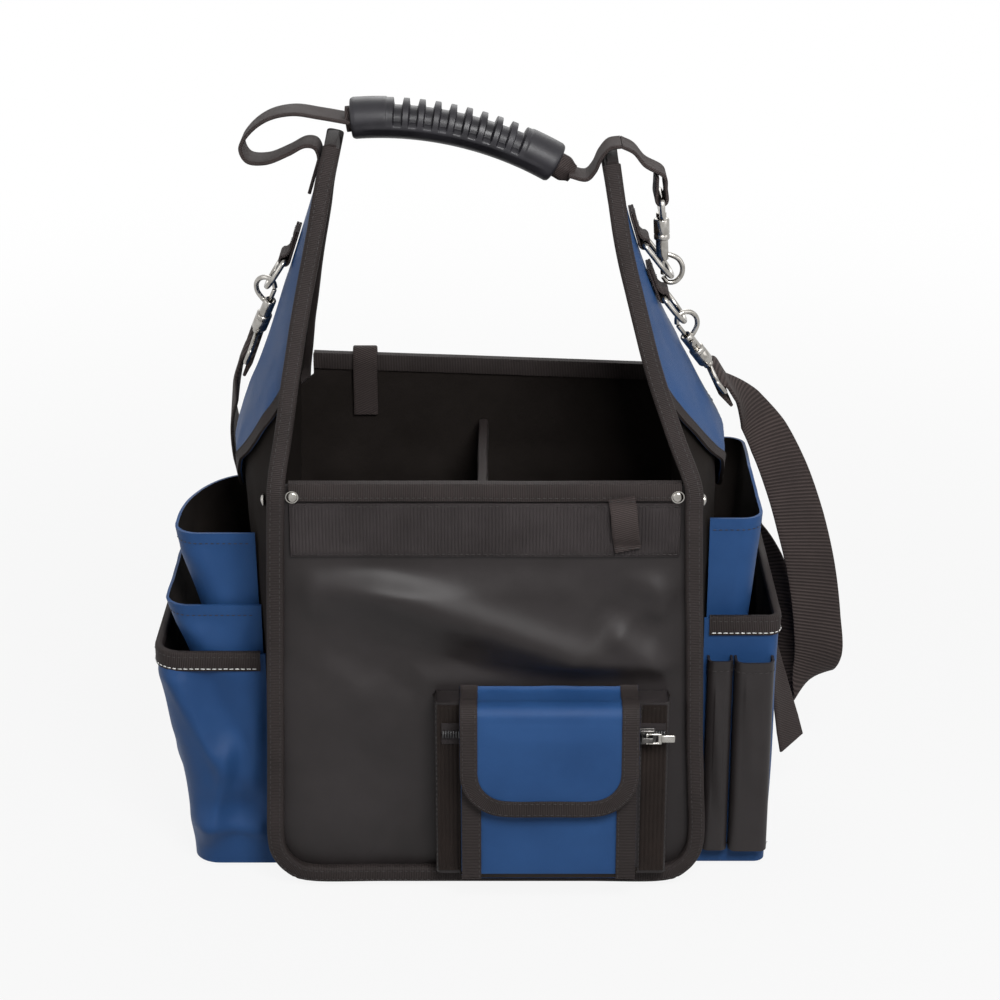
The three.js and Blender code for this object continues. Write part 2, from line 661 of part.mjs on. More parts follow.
function clip(name, side, barZ, ringDrop, hang, roll, toEye, eyeWidth) {
  const slope = Math.atan2(wallX(side, 0, barZ - 2) - wallX(side, 0, barZ + 18), 20);
  const off = (coverOut + gap + 3.6) / Math.cos(slope);
  const bar = v3(side.sign * (wallX(side, 0, barZ) + off), 0, barZ);
  const tab = new THREE.Group();
  tab.position.copy(bar);
  tab.rotation.set(0, -side.sign * slope, side.sign < 0 ? Math.PI : 0, "YXZ");
  group.add(tab);
  put(`${name}_tab`, tabShape.clone(), "webbing", tab);
  const ring = new THREE.Group();
  ring.position.copy(bar);
  ring.rotation.y = -side.sign * THREE.MathUtils.degToRad(hang);
  group.add(ring);
  put(`${name}_ring`, sweep(ringShape(ringDrop), roundSection(wire, 7), wireFace, true), "nickel", ring);
  ring.updateMatrixWorld(true);
  const seat = v3(0, 0, -ringDrop).applyMatrix4(ring.matrixWorld);
  const axis = toEye.clone().normalize();
  const across = v3(0, side.sign * (axis.z > 0 ? 1 : -1), 0);
  across.addScaledVector(axis, -across.dot(axis)).normalize();
  const out = across.clone().cross(axis);
  const hook = new THREE.Group();
  hook.quaternion.setFromRotationMatrix(new THREE.Matrix4().makeBasis(out, across, axis));
  hook.position.copy(seat).sub(wireInHook.clone().applyQuaternion(hook.quaternion));
  group.add(hook);
  const swivel = new THREE.Group();
  swivel.position.copy(hook.position);
  swivel.quaternion.setFromAxisAngle(axis, THREE.MathUtils.degToRad(roll)).multiply(hook.quaternion);
  group.add(swivel);
  put(`${name}_hook`, hookShape.clone(), "nickel", swivel);
  put(`${name}_bolt`, boltShape.clone(), "nickel", swivel);
  put(`${name}_eye`, eyeShape(eyeWidth), "nickel", hook);
  hook.updateMatrixWorld(true);
  return { bar, seat, hook, axis, out, across };
}

const leftClip = clip("left", left, 356, 21, 33, 17, v3(-0.34, 0.44, -0.83), strapWidth);
const strapClip = clip("right", right, 334, 21, 38, -13, v3(0.54, 0.34, -0.77), strapWidth);
const handleClip = clip("handle", right, 366, 27, 38, 0, v3(-0.05, 0, 1), handleWidth);

// Webbing round an eye's bar: the doubled end, the turn round the bar and the start of the free run.
function eyeTurn(clipPlaced, lead) {
  const around = 1.6 + gap + webThick / 2;
  const local = [v3(-2.1, 0, eyeBar + 13), v3(-2.6, 0, eyeBar + 6)];
  for (const turn of [180, 216, 252, 288, 324, 360]) {
    const a = THREE.MathUtils.degToRad(turn);
    local.push(v3(around * Math.cos(a), 0, eyeBar + around * Math.sin(a)));
  }
  local.push(v3(2.6, 0, eyeBar + 6), v3(2, 0, eyeBar + lead));
  return local.map((p) => p.applyMatrix4(clipPlaced.hook.matrixWorld));
}

// Webbing along a route: each step is a point and the direction its width keeps to.
function webbing(route, width, count) {
  const curve = new THREE.CatmullRomCurve3(route.map(([p]) => p), false, "centripetal");
  const path = [];
  const widths = [];
  for (let i = 0; i <= count; i += 1) {
    const t = (i / count) * (route.length - 1);
    const k = Math.min(route.length - 2, Math.floor(t));
    path.push(curve.getPoint(i / count));
    widths.push(route[k][1].clone().lerp(route[k + 1][1], t - k).normalize());
  }
  return sweep(path, flatSection(webThick, width), (i) => widths[i]);
}

// Grip: a ribbed moulding round a core, arched between the handle's two lengths of webbing.
const gripArc = (() => {
  const a = v3(gripStart[0], 0, gripStart[1]);
  const b = v3(gripEnd[0], 0, gripEnd[1]);
  const chord = a.distanceTo(b);
  const radius = chord ** 2 / (8 * gripRise) + gripRise / 2;
  const half = Math.asin(chord / 2 / radius);
  const lean = Math.atan2(b.z - a.z, b.x - a.x);
  const middle = a.clone().add(b).multiplyScalar(0.5);
  const down = v3(Math.sin(lean), 0, -Math.cos(lean));
  const centre = middle.addScaledVector(down, radius - gripRise);
  const length = 2 * half * radius;
  const at = (s) => {
    const turn = lean + Math.PI / 2 + half - (s / length) * 2 * half;
    return v3(centre.x + radius * Math.cos(turn), 0, centre.z + radius * Math.sin(turn));
  };
  return { at, length };
})();

const gripSides = 14;
const gripHigh = 11.5;
const gripWide = 13;
function gripRing(s, sunk, scale = 1) {
  const ahead = gripArc.at(s + 0.5).sub(gripArc.at(s - 0.5)).normalize();
  const up = v3(-ahead.z, 0, ahead.x);
  const middle = gripArc.at(s);
  return [...Array(gripSides).keys()].map((j) => {
    const a = (2 * Math.PI * j) / gripSides;
    const upper = Math.sin(a) > -0.1 ? sunk : 0;
    const y = Math.cos(a) * (gripWide * scale - upper);
    const z = Math.sin(a) * (gripHigh * scale - upper);
    return middle.clone().addScaledVector(alongY, y).addScaledVector(up, z);
  });
}

const boreHigh = 7.9;
put("grip", (() => {
  const pitch = (gripArc.length - gripCollars[0] - gripCollars[1]) / gripSlots;
  const rings = [gripRing(0, 0, 0.88), gripRing(1.6, 0)];
  for (let i = 0; i < gripSlots; i += 1) {
    const s = gripCollars[0] + pitch * (i + 0.25);
    rings.push(gripRing(s - 0.5, 0), gripRing(s + 0.5, 2.2));
    rings.push(gripRing(s + pitch / 2 - 0.5, 2.2), gripRing(s + pitch / 2 + 0.5, 0));
  }
  rings.push(gripRing(gripArc.length - 1.6, 0), gripRing(gripArc.length, 0, 0.88));
  const bore = steps(0, gripArc.length, 6).map((s) => gripRing(s, 0, boreHigh / gripHigh));
  const points = [...rings, ...bore].flat();
  const faces = [];
  const span = (a, b, flip) => {
    for (let j = 0; j < gripSides; j += 1) {
      const k = (j + 1) % gripSides;
      const [p, q, r, t] = [a + j, a + k, b + k, b + j];
      if (flip) faces.push(p, r, q, p, t, r);
      else faces.push(p, q, r, p, r, t);
    }
  };
  const first = rings.length * gripSides;
  for (let i = 0; i < rings.length - 1; i += 1) span(i * gripSides, (i + 1) * gripSides, false);
  for (let i = 0; i < bore.length - 1; i += 1) span(first + i * gripSides, first + (i + 1) * gripSides, true);
  span(0, first, true);
  span((rings.length - 1) * gripSides, first + (bore.length - 1) * gripSides, false);
  return fromTriangles(points, faces);
})(), "plastic");

const coreLead = 3;
const coreStub = 11;
put("grip_core", (() => {
  const path = steps(-coreLead, gripArc.length + coreStub, 10).map((s) => gripArc.at(s));
  const section = [...Array(12).keys()].map((j) => {
    const a = (2 * Math.PI * j) / 12;
    return v2(7.3 * Math.cos(a), 8.2 * Math.sin(a));
  });
  return sweep(path, section, keep(alongY));
})(), "webbing");

// Handle webbing: the left length is sewn to the gable's outer face, the right one goes to the handle clip.
const coreLeft = gripArc.at(-coreLead - gap - 0.3);
const coreRight = gripArc.at(gripArc.length + coreStub + gap + 0.3);
const inPlane = (x, z) => [v3(x, 0, z), alongY];
const sewnTo = (side, z) => side.sign * (wallX(side, 0, z) + coverOut + gap + webThick / 2 + 0.5);
put("handle_strap_left", webbing([
  [coreLeft, alongY], inPlane(-93, 439.5), inPlane(-108, 441.5), inPlane(-122, 438.5), inPlane(-132.5, 431),
  inPlane(-138, 422), inPlane(-134.5, 414.5), inPlane(-124, 413.5), inPlane(-111, 418.5),
  inPlane(-101.5, 423.2), inPlane(-96, 422.2), inPlane(sewnTo(left, 416), 416), inPlane(sewnTo(left, 408), 408),
  inPlane(sewnTo(left, 396), 396),
], handleWidth, 36), "webbing");
put("handle_strap_right", webbing([
  [coreRight, alongY], inPlane(57.5, 404), inPlane(62, 408.5), inPlane(65.5, 416), inPlane(70.5, 421.8),
  inPlane(77, 423), inPlane(84, 419.5), inPlane(90.5, 412),
  ...eyeTurn(handleClip, 13).reverse().map((p) => [p, alongY]),
], handleWidth, 38), "webbing");

// Shoulder strap: from the left clip down behind the pockets, along the back to an adjuster, then round
// the right side, where it hangs in a loop before it turns up to the right clip.
const backRun = 110;
const adjusterZ = 112;
const loopWidth = v3(0.94, 0.33, 0.05);
const step = (x, y, z, width) => [v3(x, y, z), width.clone().normalize()];
put("shoulder_strap_left", webbing([
  ...eyeTurn(leftClip, 14).map((p) => [p, leftClip.across.clone()]),
  step(-150, 46, 266, v3(0, 0.85, 0.5)), step(-157, 70, 240, v3(0, 0.75, 0.66)),
  step(-158, 94, 208, v3(0, 0.6, 0.8)), step(-151, 108, 177, v3(-0.1, 0.3, 0.95)),
  step(-130, 114, 150, v3(0, 0.1, 1)), step(-95, 112, 130, alongZ), step(-55, backRun, 116, alongZ),
  step(-32, backRun, adjusterZ, alongZ), step(-16, backRun, adjusterZ, alongZ),
], strapWidth, 38), "webbing");
put("shoulder_strap_right", webbing([
  ...eyeTurn(strapClip, 14).map((p) => [p, strapClip.across.clone().negate()]),
  step(159, 28, 252, v3(0.5, 0.85, 0.25)), step(171, 30, 234, v3(0.75, 0.62, 0.2)),
  step(183, 30, 208, v3(0.88, 0.45, 0.1)), step(193, 29, 178, loopWidth), step(201, 28, 146, loopWidth),
  step(206, 27, 112, loopWidth), step(207.5, 27, 88, v3(0.9, 0.2, 0.25)),
  step(203, 33, 70, v3(0.75, 0.2, 0.6)),
  step(196, 43, 66, v3(0.5, 0.3, 0.8)), step(190, 55, 78, v3(0.25, 0.35, 0.9)),
  step(186, 68, 98, v3(0.1, 0.35, 0.93)), step(179, 85, 122, v3(0, 0.3, 0.95)),
  step(162, 101, 142, v3(0, 0.15, 1)), step(134, 113.5, 148, alongZ), step(95, 112, 130, alongZ),
  step(55, backRun, 116, alongZ), step(32, backRun, adjusterZ, alongZ), step(16, backRun, adjusterZ, alongZ),
], strapWidth, 54), "webbing");
put("strap_adjuster", (() => {
  const frame = box(-14, 14, backRun - 1.5, backRun + 1.5, adjusterZ - 20, adjusterZ + 20);
  const slot = (x0, x1) => box(x0, x1, backRun - 3, backRun + 3, adjusterZ - 16.6, adjusterZ + 16.6);
  return cut(frame, slot(-10.5, -2), slot(2, 10.5));
})(), "plastic");

// Loose tail of strap sewn to the outside of the right lower pocket
put("strap_tail", webbing([
  step(171.7, 0, 146, alongY), step(172, 0, 132, alongY), step(175.5, 0, 110, v3(0.15, 0.98, 0)),
  step(181, 0, 82, v3(0.4, 0.9, 0)), step(187, 0, 55, v3(0.6, 0.8, 0)), step(190, 0, 42, v3(0.65, 0.76, 0)),
], 25, 12), "webbing");

export default group;
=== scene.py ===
import math

import bpy
import numpy as np
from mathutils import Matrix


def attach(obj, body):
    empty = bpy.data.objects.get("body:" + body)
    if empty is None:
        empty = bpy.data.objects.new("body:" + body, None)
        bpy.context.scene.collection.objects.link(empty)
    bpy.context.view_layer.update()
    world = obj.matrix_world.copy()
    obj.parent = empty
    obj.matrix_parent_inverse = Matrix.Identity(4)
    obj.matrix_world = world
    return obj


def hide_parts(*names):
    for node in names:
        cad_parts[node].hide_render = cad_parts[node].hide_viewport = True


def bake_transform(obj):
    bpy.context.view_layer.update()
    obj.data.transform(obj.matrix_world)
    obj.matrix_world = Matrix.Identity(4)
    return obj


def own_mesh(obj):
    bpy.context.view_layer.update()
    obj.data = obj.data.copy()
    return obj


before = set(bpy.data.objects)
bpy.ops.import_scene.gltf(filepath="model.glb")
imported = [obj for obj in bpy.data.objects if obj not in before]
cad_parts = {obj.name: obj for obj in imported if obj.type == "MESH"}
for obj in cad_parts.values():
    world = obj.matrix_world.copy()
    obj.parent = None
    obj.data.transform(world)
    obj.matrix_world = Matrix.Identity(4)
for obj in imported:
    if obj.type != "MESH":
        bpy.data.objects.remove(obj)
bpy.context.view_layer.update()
scene = bpy.context.scene
scene.view_settings.view_transform = "Standard"
mm = 0.001  # all shapes below are written in millimetres
print("frame loaded")


# camera at the height and distance the picture was taken from
cameraSet = {"target": (0.0084, 0.0016, 0.2039), "distance": 1.5, "elevation": 21.7, "lens": 90.0}


def placeCamera(spec):
    tilt = math.radians(spec["elevation"])
    data = bpy.data.cameras.new("camera")
    data.lens = spec["lens"]
    data.sensor_width = 36.0
    data.clip_end = 60.0
    obj = bpy.data.objects.new("camera", data)
    x, y, z = spec["target"]
    reach = spec["distance"]
    obj.location = (x, y - reach * math.cos(tilt), z + reach * math.sin(tilt))
    obj.rotation_euler = (math.pi / 2 - tilt, 0, 0)
    scene.collection.objects.link(obj)
    scene.camera = obj


placeCamera(cameraSet)


# small helpers for building node trees

def addNode(tree, kind, settings=None, **values):
    node = tree.nodes.new(kind)
    for key, value in (settings or {}).items():
        setattr(node, key, value)
    for key, value in values.items():
        node.inputs[key].default_value = value
    return node


def wire(tree, source, target):
    tree.links.new(source, target)


def mathNode(tree, operation, first, second=None):
    node = tree.nodes.new("ShaderNodeMath")
    node.operation = operation
    for socket, value in zip(node.inputs, (first, second)):
        if value is None:
            continue
        if isinstance(value, (int, float)):
            socket.default_value = value
        else:
            wire(tree, value, socket)
    return node.outputs[0]


def rangeNode(tree, value, source, target, kind="LINEAR"):
    node = addNode(tree, "ShaderNodeMapRange", {"interpolation_type": kind})
    for key, number in zip(("From Min", "From Max", "To Min", "To Max"), (*source, *target)):
        node.inputs[key].default_value = number
    wire(tree, value, node.inputs["Value"])
    return node.outputs["Result"]


def rampNode(tree, share, *stops):
    node = addNode(tree, "ShaderNodeValToRGB")
    for element, (position, color) in zip(node.color_ramp.elements, stops):
        element.position = position
        element.color = (*color, 1)
    wire(tree, share, node.inputs["Fac"])
    return node.outputs["Color"]


# studio: white room, pale floor, four soft lamps
studio = {
    "roomLight": 0.14,
    "floorWhite": 0.9,
    "floorGrey": 0.34,
    "floorFade": (0.35, 1.6),  # the floor turns white between these distances
    "floorRadius": 9.0,
    "aim": (0.0, 0.0, 0.2),
    "lamps": [  # place, size, watts
        ((0.26, -0.9, 0.98), 0.45, 15.5),
        ((-1.7, -0.95, 1.0), 1.2, 9.0),
        ((1.7, -0.85, 1.0), 1.2, 7.5),
        ((0.1, 1.5, 1.5), 1.4, 16.0),
    ],
}


def showWhite(tree):
    path = addNode(tree, "ShaderNodeLightPath")
    seen = mathNode(tree, "ADD", path.outputs["Is Camera Ray"], path.outputs["Is Glossy Ray"])
    seen = mathNode(tree, "ADD", seen, path.outputs["Is Transmission Ray"])
    return mathNode(tree, "MINIMUM", seen, 1.0)


def buildStudio(spec):
    world = bpy.data.worlds.new("white room")
    scene.world = world
    world.use_nodes = True
    tree = world.node_tree
    tree.nodes.clear()
    lit = addNode(tree, "ShaderNodeBackground", Color=(1, 1, 1, 1), Strength=spec["roomLight"])
    seen = addNode(tree, "ShaderNodeBackground", Color=(1, 1, 1, 1), Strength=1.0)
    mix = addNode(tree, "ShaderNodeMixShader")
    out = addNode(tree, "ShaderNodeOutputWorld")
    wire(tree, showWhite(tree), mix.inputs[0])
    wire(tree, lit.outputs[0], mix.inputs[1])
    wire(tree, seen.outputs[0], mix.inputs[2])
    wire(tree, mix.outputs[0], out.inputs[0])

    mesh = bpy.data.meshes.new("floor")
    turn = np.linspace(0, 2 * math.pi, 65)[:-1]
    ring = [(spec["floorRadius"] * math.cos(a), spec["floorRadius"] * math.sin(a), -0.0004) for a in turn]
    mesh.from_pydata(ring, [], [list(range(64))])
    floor = bpy.data.objects.new("floor", mesh)
    scene.collection.objects.link(floor)
    look = bpy.data.materials.new("pale floor")
    look.use_nodes = True
    tree = look.node_tree
    base = tree.nodes["Principled BSDF"]
    grey = spec["floorGrey"]
    base.inputs["Base Color"].default_value = (grey, grey, grey, 1)
    base.inputs["Roughness"].default_value = 0.9
    glow = addNode(tree, "ShaderNodeEmission", Color=(1, 1, 1, 1), Strength=1.0)
    place = addNode(tree, "ShaderNodeTexCoord")
    far = addNode(tree, "ShaderNodeVectorMath", {"operation": "LENGTH"})
    wire(tree, place.outputs["Object"], far.inputs[0])
    fade = rangeNode(tree, far.outputs["Value"], spec["floorFade"], (spec["floorWhite"], 1.0), "SMOOTHSTEP")
    mix = addNode(tree, "ShaderNodeMixShader")
    wire(tree, mathNode(tree, "MULTIPLY", showWhite(tree), fade), mix.inputs[0])
    wire(tree, base.outputs[0], mix.inputs[1])
    wire(tree, glow.outputs[0], mix.inputs[2])
    wire(tree, mix.outputs[0], tree.nodes["Material Output"].inputs[0])
    mesh.materials.append(look)

    for place, size, watts in spec["lamps"]:
        data = bpy.data.lights.new("lamp", "AREA")
        data.size = size
        data.energy = watts
        lamp = bpy.data.objects.new("lamp", data)
        lamp.location = place
        lamp.visible_camera = False  # other views may look past it
        aim = np.array(spec["aim"]) - np.array(place)
        aim = aim / np.linalg.norm(aim)
        lamp.rotation_euler = (math.acos(-aim[2]), 0, math.atan2(aim[1], aim[0]) - math.pi / 2)
        scene.collection.objects.link(lamp)


buildStudio(studio)
print("camera and studio placed")


# cloths, tapes and metals
clothKinds = {
    "coatedBlack": {"color": (0.0115, 0.0092, 0.0090), "worn": (0.0250, 0.0212, 0.0218), "rough": (0.42, 0.52),
                    "pattern": "plain", "pitch": 0.75, "depth": 0.022, "specular": 0.25, "patches": 16.0},
    "insideBlack": {"color": (0.0085, 0.0066, 0.0056), "worn": (0.019, 0.0155, 0.0140), "rough": (0.75, 0.9),
                    "pattern": "plain", "pitch": 1.0, "depth": 0.16, "specular": 0.08, "patches": 22.0},
    "blueCloth": {"color": (0.0115, 0.043, 0.128), "worn": (0.0235, 0.073, 0.198), "rough": (0.42, 0.6),
                  "pattern": "plain", "pitch": 0.8, "depth": 0.045, "specular": 0.16, "patches": 15.0},
    "bindingTape": {"color": (0.0150, 0.0118, 0.0112), "worn": (0.036, 0.0292, 0.0285), "rough": (0.56, 0.72),
                    "pattern": "rib", "pitch": 1.0, "depth": 0.12, "specular": 0.12, "patches": 30.0},
    "webbing": {"color": (0.022, 0.0165, 0.0154), "worn": (0.054, 0.0415, 0.0390), "rough": (0.6, 0.8),
                "pattern": "twill", "pitch": 2.3, "depth": 0.26, "specular": 0.13, "patches": 26.0},
    "narrowWebbing": {"color": (0.021, 0.0162, 0.0154), "worn": (0.050, 0.0392, 0.0375), "rough": (0.6, 0.8),
                      "pattern": "twill", "pitch": 1.2, "depth": 0.12, "specular": 0.13, "patches": 26.0},
    "bandWebbing": {"color": (0.020, 0.0168, 0.0168), "worn": (0.056, 0.048, 0.049), "rough": (0.62, 0.8),
                    "pattern": "plain", "pitch": 0.6, "depth": 0.12, "specular": 0.12, "patches": 26.0},
    "stripWebbing": {"color": (0.0110, 0.0080, 0.0068), "worn": (0.028, 0.0205, 0.0178), "rough": (0.6, 0.8),
                     "pattern": "plain", "pitch": 0.6, "depth": 0.12, "specular": 0.1, "patches": 26.0},
    "looseNap": {"color": (0.012, 0.011, 0.011), "worn": (0.026, 0.024, 0.024), "rough": (0.9, 1.0),
                 "pattern": "nap", "pitch": 1.2, "depth": 0.5, "specular": 0.06, "patches": 40.0},
}


def patternHeight(tree, spec):
    coords = addNode(tree, "ShaderNodeUVMap", {"uv_map": "cloth"})
    split = addNode(tree, "ShaderNodeSeparateXYZ")
    wire(tree, coords.outputs[0], split.inputs[0])
    turns = 2 * math.pi / (spec["pitch"] * mm)
    across = split.outputs["X"]
    along = split.outputs["Y"]
    if spec["pattern"] == "rib":
        return mathNode(tree, "SINE", mathNode(tree, "MULTIPLY", along, turns))
    if spec["pattern"] == "twill":  # ribs that cross heavy webbing on a slant
        slant = mathNode(tree, "ADD", along, mathNode(tree, "MULTIPLY", across, 0.38))
        return mathNode(tree, "SINE", mathNode(tree, "MULTIPLY", slant, turns))
    if spec["pattern"] == "nap":
        fuzz = addNode(tree, "ShaderNodeTexNoise", Scale=1 / (spec["pitch"] * mm), Detail=3.0)
        wire(tree, coords.outputs[0], fuzz.inputs["Vector"])
        return fuzz.outputs["Fac"]
    first = mathNode(tree, "SINE", mathNode(tree, "MULTIPLY", across, turns))
    second = mathNode(tree, "SINE", mathNode(tree, "MULTIPLY", along, turns))
    return mathNode(tree, "MULTIPLY", first, second)


def clothLook(name, spec):
    look = bpy.data.materials.new(name)
    look.use_nodes = True
    tree = look.node_tree
    base = tree.nodes["Principled BSDF"]
    base.inputs["Specular IOR Level"].default_value = spec["specular"]
    height = patternHeight(tree, spec)
    place = addNode(tree, "ShaderNodeTexCoord")
    patches = addNode(tree, "ShaderNodeTexNoise", Scale=spec["patches"], Detail=5.0, Roughness=0.6)
    wire(tree, place.outputs["Object"], patches.inputs["Vector"])
    threads = rangeNode(tree, height, (-1.0, 1.0), (-0.3, 0.3))
    share = mathNode(tree, "ADD", patches.outputs["Fac"], threads)
    wire(tree, rampNode(tree, share, (0.3, spec["color"]), (0.78, spec["worn"])), base.inputs["Base Color"])
    wire(tree, rangeNode(tree, patches.outputs["Fac"], (0.3, 0.7), spec["rough"]), base.inputs["Roughness"])
    bump = addNode(tree, "ShaderNodeBump", Strength=0.7, Distance=spec["depth"] * mm)
    wire(tree, height, bump.inputs["Height"])
    wire(tree, bump.outputs["Normal"], base.inputs["Normal"])
    return look


looks = {name: clothLook(name, spec) for name, spec in clothKinds.items()}

hardKinds = {
    "gripPlastic": {"color": (0.0085, 0.0080, 0.0100), "worn": (0.0165, 0.0155, 0.0192), "rough": (0.36, 0.5),
                    "metallic": 0.0, "specular": 0.32, "grain": 900.0, "depth": 0.05, "patches": 40.0},
    "nickel": {"color": (0.29, 0.275, 0.252), "worn": (0.43, 0.415, 0.39), "rough": (0.16, 0.3),
               "metallic": 1.0, "grain": 1400.0, "depth": 0.012, "patches": 220.0},
    "zipMetal": {"color": (0.055, 0.052, 0.050), "worn": (0.14, 0.135, 0.13), "rough": (0.25, 0.4),
                 "metallic": 1.0, "grain": 1400.0, "depth": 0.012, "patches": 220.0},
    "whiteThread": {"color": (0.55, 0.55, 0.53), "worn": (0.76, 0.76, 0.74), "rough": (0.7, 0.85),
                    "metallic": 0.0, "grain": 3000.0, "depth": 0.1, "patches": 300.0},
    "darkThread": {"color": (0.014, 0.0118, 0.0112), "worn": (0.032, 0.0275, 0.0268), "rough": (0.7, 0.85),
                   "metallic": 0.0, "grain": 3000.0, "depth": 0.1, "patches": 300.0},
    "zipBlack": {"color": (0.012, 0.012, 0.013), "worn": (0.03, 0.03, 0.03), "rough": (0.35, 0.5),
                 "metallic": 0.0, "grain": 2000.0, "depth": 0.05, "patches": 200.0},
}


def hardLook(name, spec):
    look = bpy.data.materials.new(name)
    look.use_nodes = True
    tree = look.node_tree
    base = tree.nodes["Principled BSDF"]
    base.inputs["Metallic"].default_value = spec["metallic"]
    base.inputs["Specular IOR Level"].default_value = spec.get("specular", 0.5)
    place = addNode(tree, "ShaderNodeTexCoord")
    patches = addNode(tree, "ShaderNodeTexNoise", Scale=spec["patches"], Detail=4.0)
    grain = addNode(tree, "ShaderNodeTexNoise", Scale=spec["grain"], Detail=2.0)
    for node in (patches, grain):
        wire(tree, place.outputs["Object"], node.inputs["Vector"])
    share = patches.outputs["Fac"]
    wire(tree, rampNode(tree, share, (0.35, spec["color"]), (0.7, spec["worn"])), base.inputs["Base Color"])
    wire(tree, rangeNode(tree, share, (0.35, 0.65), spec["rough"]), base.inputs["Roughness"])
    bump = addNode(tree, "ShaderNodeBump", Strength=0.6, Distance=spec["depth"] * mm)
    wire(tree, grain.outputs["Fac"], bump.inputs["Height"])
    wire(tree, bump.outputs["Normal"], base.inputs["Normal"])
    return look


looks.update({name: hardLook(name, spec) for name, spec in hardKinds.items()})
print("materials made")


# shape helpers, all on numpy arrays in millimetres

def ease(low, high, value):
    t = np.clip((np.asarray(value, float) - low) / (high - low), 0, 1)
    return t * t * (3 - 2 * t)


def softNoise(points, size, seed):
    p = np.asarray(points, float) / size + seed * 17.31
    cell = np.floor(p).astype(np.int64)
    f = p - cell
    f = f * f * f * (f * (f * 6 - 15) + 10)

    def corner(dx, dy, dz):
        n = (cell[..., 0] + dx) * 73856093 ^ (cell[..., 1] + dy) * 19349663 ^ (cell[..., 2] + dz) * 83492791
        n = (n ^ (n >> 13)) * 1274126177
        n = n ^ (n >> 16)
        return (n & 65535) / 32767.5 - 1

    total = 0
    for dx in (0, 1):
        for dy in (0, 1):
            for dz in (0, 1):
                weight = 1
                for axis, step in enumerate((dx, dy, dz)):
                    weight = weight * (f[..., axis] if step else 1 - f[..., axis])
                total = total + weight * corner(dx, dy, dz)
    return total


def unit(vectors):
    vectors = np.asarray(vectors, float)
    return vectors / (np.linalg.norm(vectors, axis=-1, keepdims=True) + 1e-12)


def gridNormals(grid):
    return unit(np.cross(np.gradient(grid, axis=1), np.gradient(grid, axis=0)))


def smoothPath(points, each=8, closed=False):
    p = np.asarray(points, float)
    count = len(p)
    if closed:
        p = np.vstack([p[-1], p, p[0], p[1]])
        spans = count
    else:
        p = np.vstack([2 * p[0] - p[1], p, 2 * p[-1] - p[-2]])
        spans = count - 1
    dots = []
    marks = []
    for k in range(spans):
        a, b, c, d = p[k:k + 4]
        t0, t1, t2 = (max(1e-4, np.linalg.norm(q - r)) ** 0.5 for q, r in ((b, a), (c, b), (d, c)))
        m1 = ((b - a) / t0 - (c - a) / (t0 + t1) + (c - b) / t1) * t1
        m2 = ((c - b) / t1 - (d - b) / (t1 + t2) + (d - c) / t2) * t1
        for s in np.arange(each) / each:
            dots.append((2 * s**3 - 3 * s**2 + 1) * b + (s**3 - 2 * s**2 + s) * m1
                        + (3 * s**2 - 2 * s**3) * c + (s**3 - s**2) * m2)
            marks.append(k + s)
    if not closed:
        dots.append(p[-2])
        marks.append(spans)
    return np.array(dots), np.array(marks)


# a part is points, faces, a flat pattern for each face corner and a material number for each face

def shellPart(grid, thick, inner=0):
    m, n = grid.shape[:2]
    back = grid - gridNormals(grid) * thick
    points = np.vstack([grid.reshape(-1, 3), back.reshape(-1, 3)])
    number = np.arange(m * n).reshape(m, n)
    across = np.linalg.norm(np.diff(grid, axis=1), axis=2)
    along = np.linalg.norm(np.diff(grid, axis=0), axis=2)
    u = np.hstack([np.zeros((m, 1)), np.cumsum(across, axis=1)])
    u = u - u[:, n // 2:n // 2 + 1]
    v = np.repeat(np.concatenate([[0], np.cumsum(along.mean(axis=1))])[:, None], n, axis=1)
    flat = np.stack([u, v], -1).reshape(-1, 2)
    flat = np.vstack([flat, flat])
    a, b, c, d = number[:-1, :-1], number[:-1, 1:], number[1:, 1:], number[1:, :-1]
    outer = np.stack([a, b, c, d], -1).reshape(-1, 4)
    edge = np.concatenate([number[0, :], number[1:, -1], number[-1, -2::-1], number[-2:0:-1, 0]])
    after = np.roll(edge, -1)
    rim = np.stack([after, edge, edge + m * n, after + m * n], -1)
    faces = np.vstack([outer, outer[:, ::-1] + m * n, rim])
    kind = np.concatenate([np.zeros(len(outer), int), np.full(len(outer), inner), np.zeros(len(rim), int)])
    return points, [list(f) for f in faces.tolist()], flat[faces].reshape(-1, 2), kind


def loftPart(rings, closed=False):
    rings = np.asarray(rings, float)
    k, s = rings.shape[:2]
    points = rings.reshape(-1, 3)
    around = np.linalg.norm(np.roll(rings, -1, axis=1) - rings, axis=2).mean(axis=0)
    u = np.concatenate([[0], np.cumsum(around)])
    middle = rings.mean(axis=1)
    steps = np.linalg.norm(np.roll(middle, -1, axis=0) - middle, axis=1)
    v = np.concatenate([[0], np.cumsum(steps)])
    faces = []
    flat = []
    for i in range(k if closed else k - 1):
        a, b = i * s, ((i + 1) % k) * s
        for j in range(s):
            q = (j + 1) % s
            faces.append([a + j, a + q, b + q, b + j])
            flat += [(u[j], v[i]), (u[j + 1], v[i]), (u[j + 1], v[i + 1]), (u[j], v[i + 1])]
    if not closed:  # flat ends
        for face in (list(range(s))[::-1], list(range((k - 1) * s, k * s))):
            faces.append(face)
            flat += [(u[f % s], 0) for f in face]
    return points, faces, np.array(flat), np.zeros(len(faces), int)


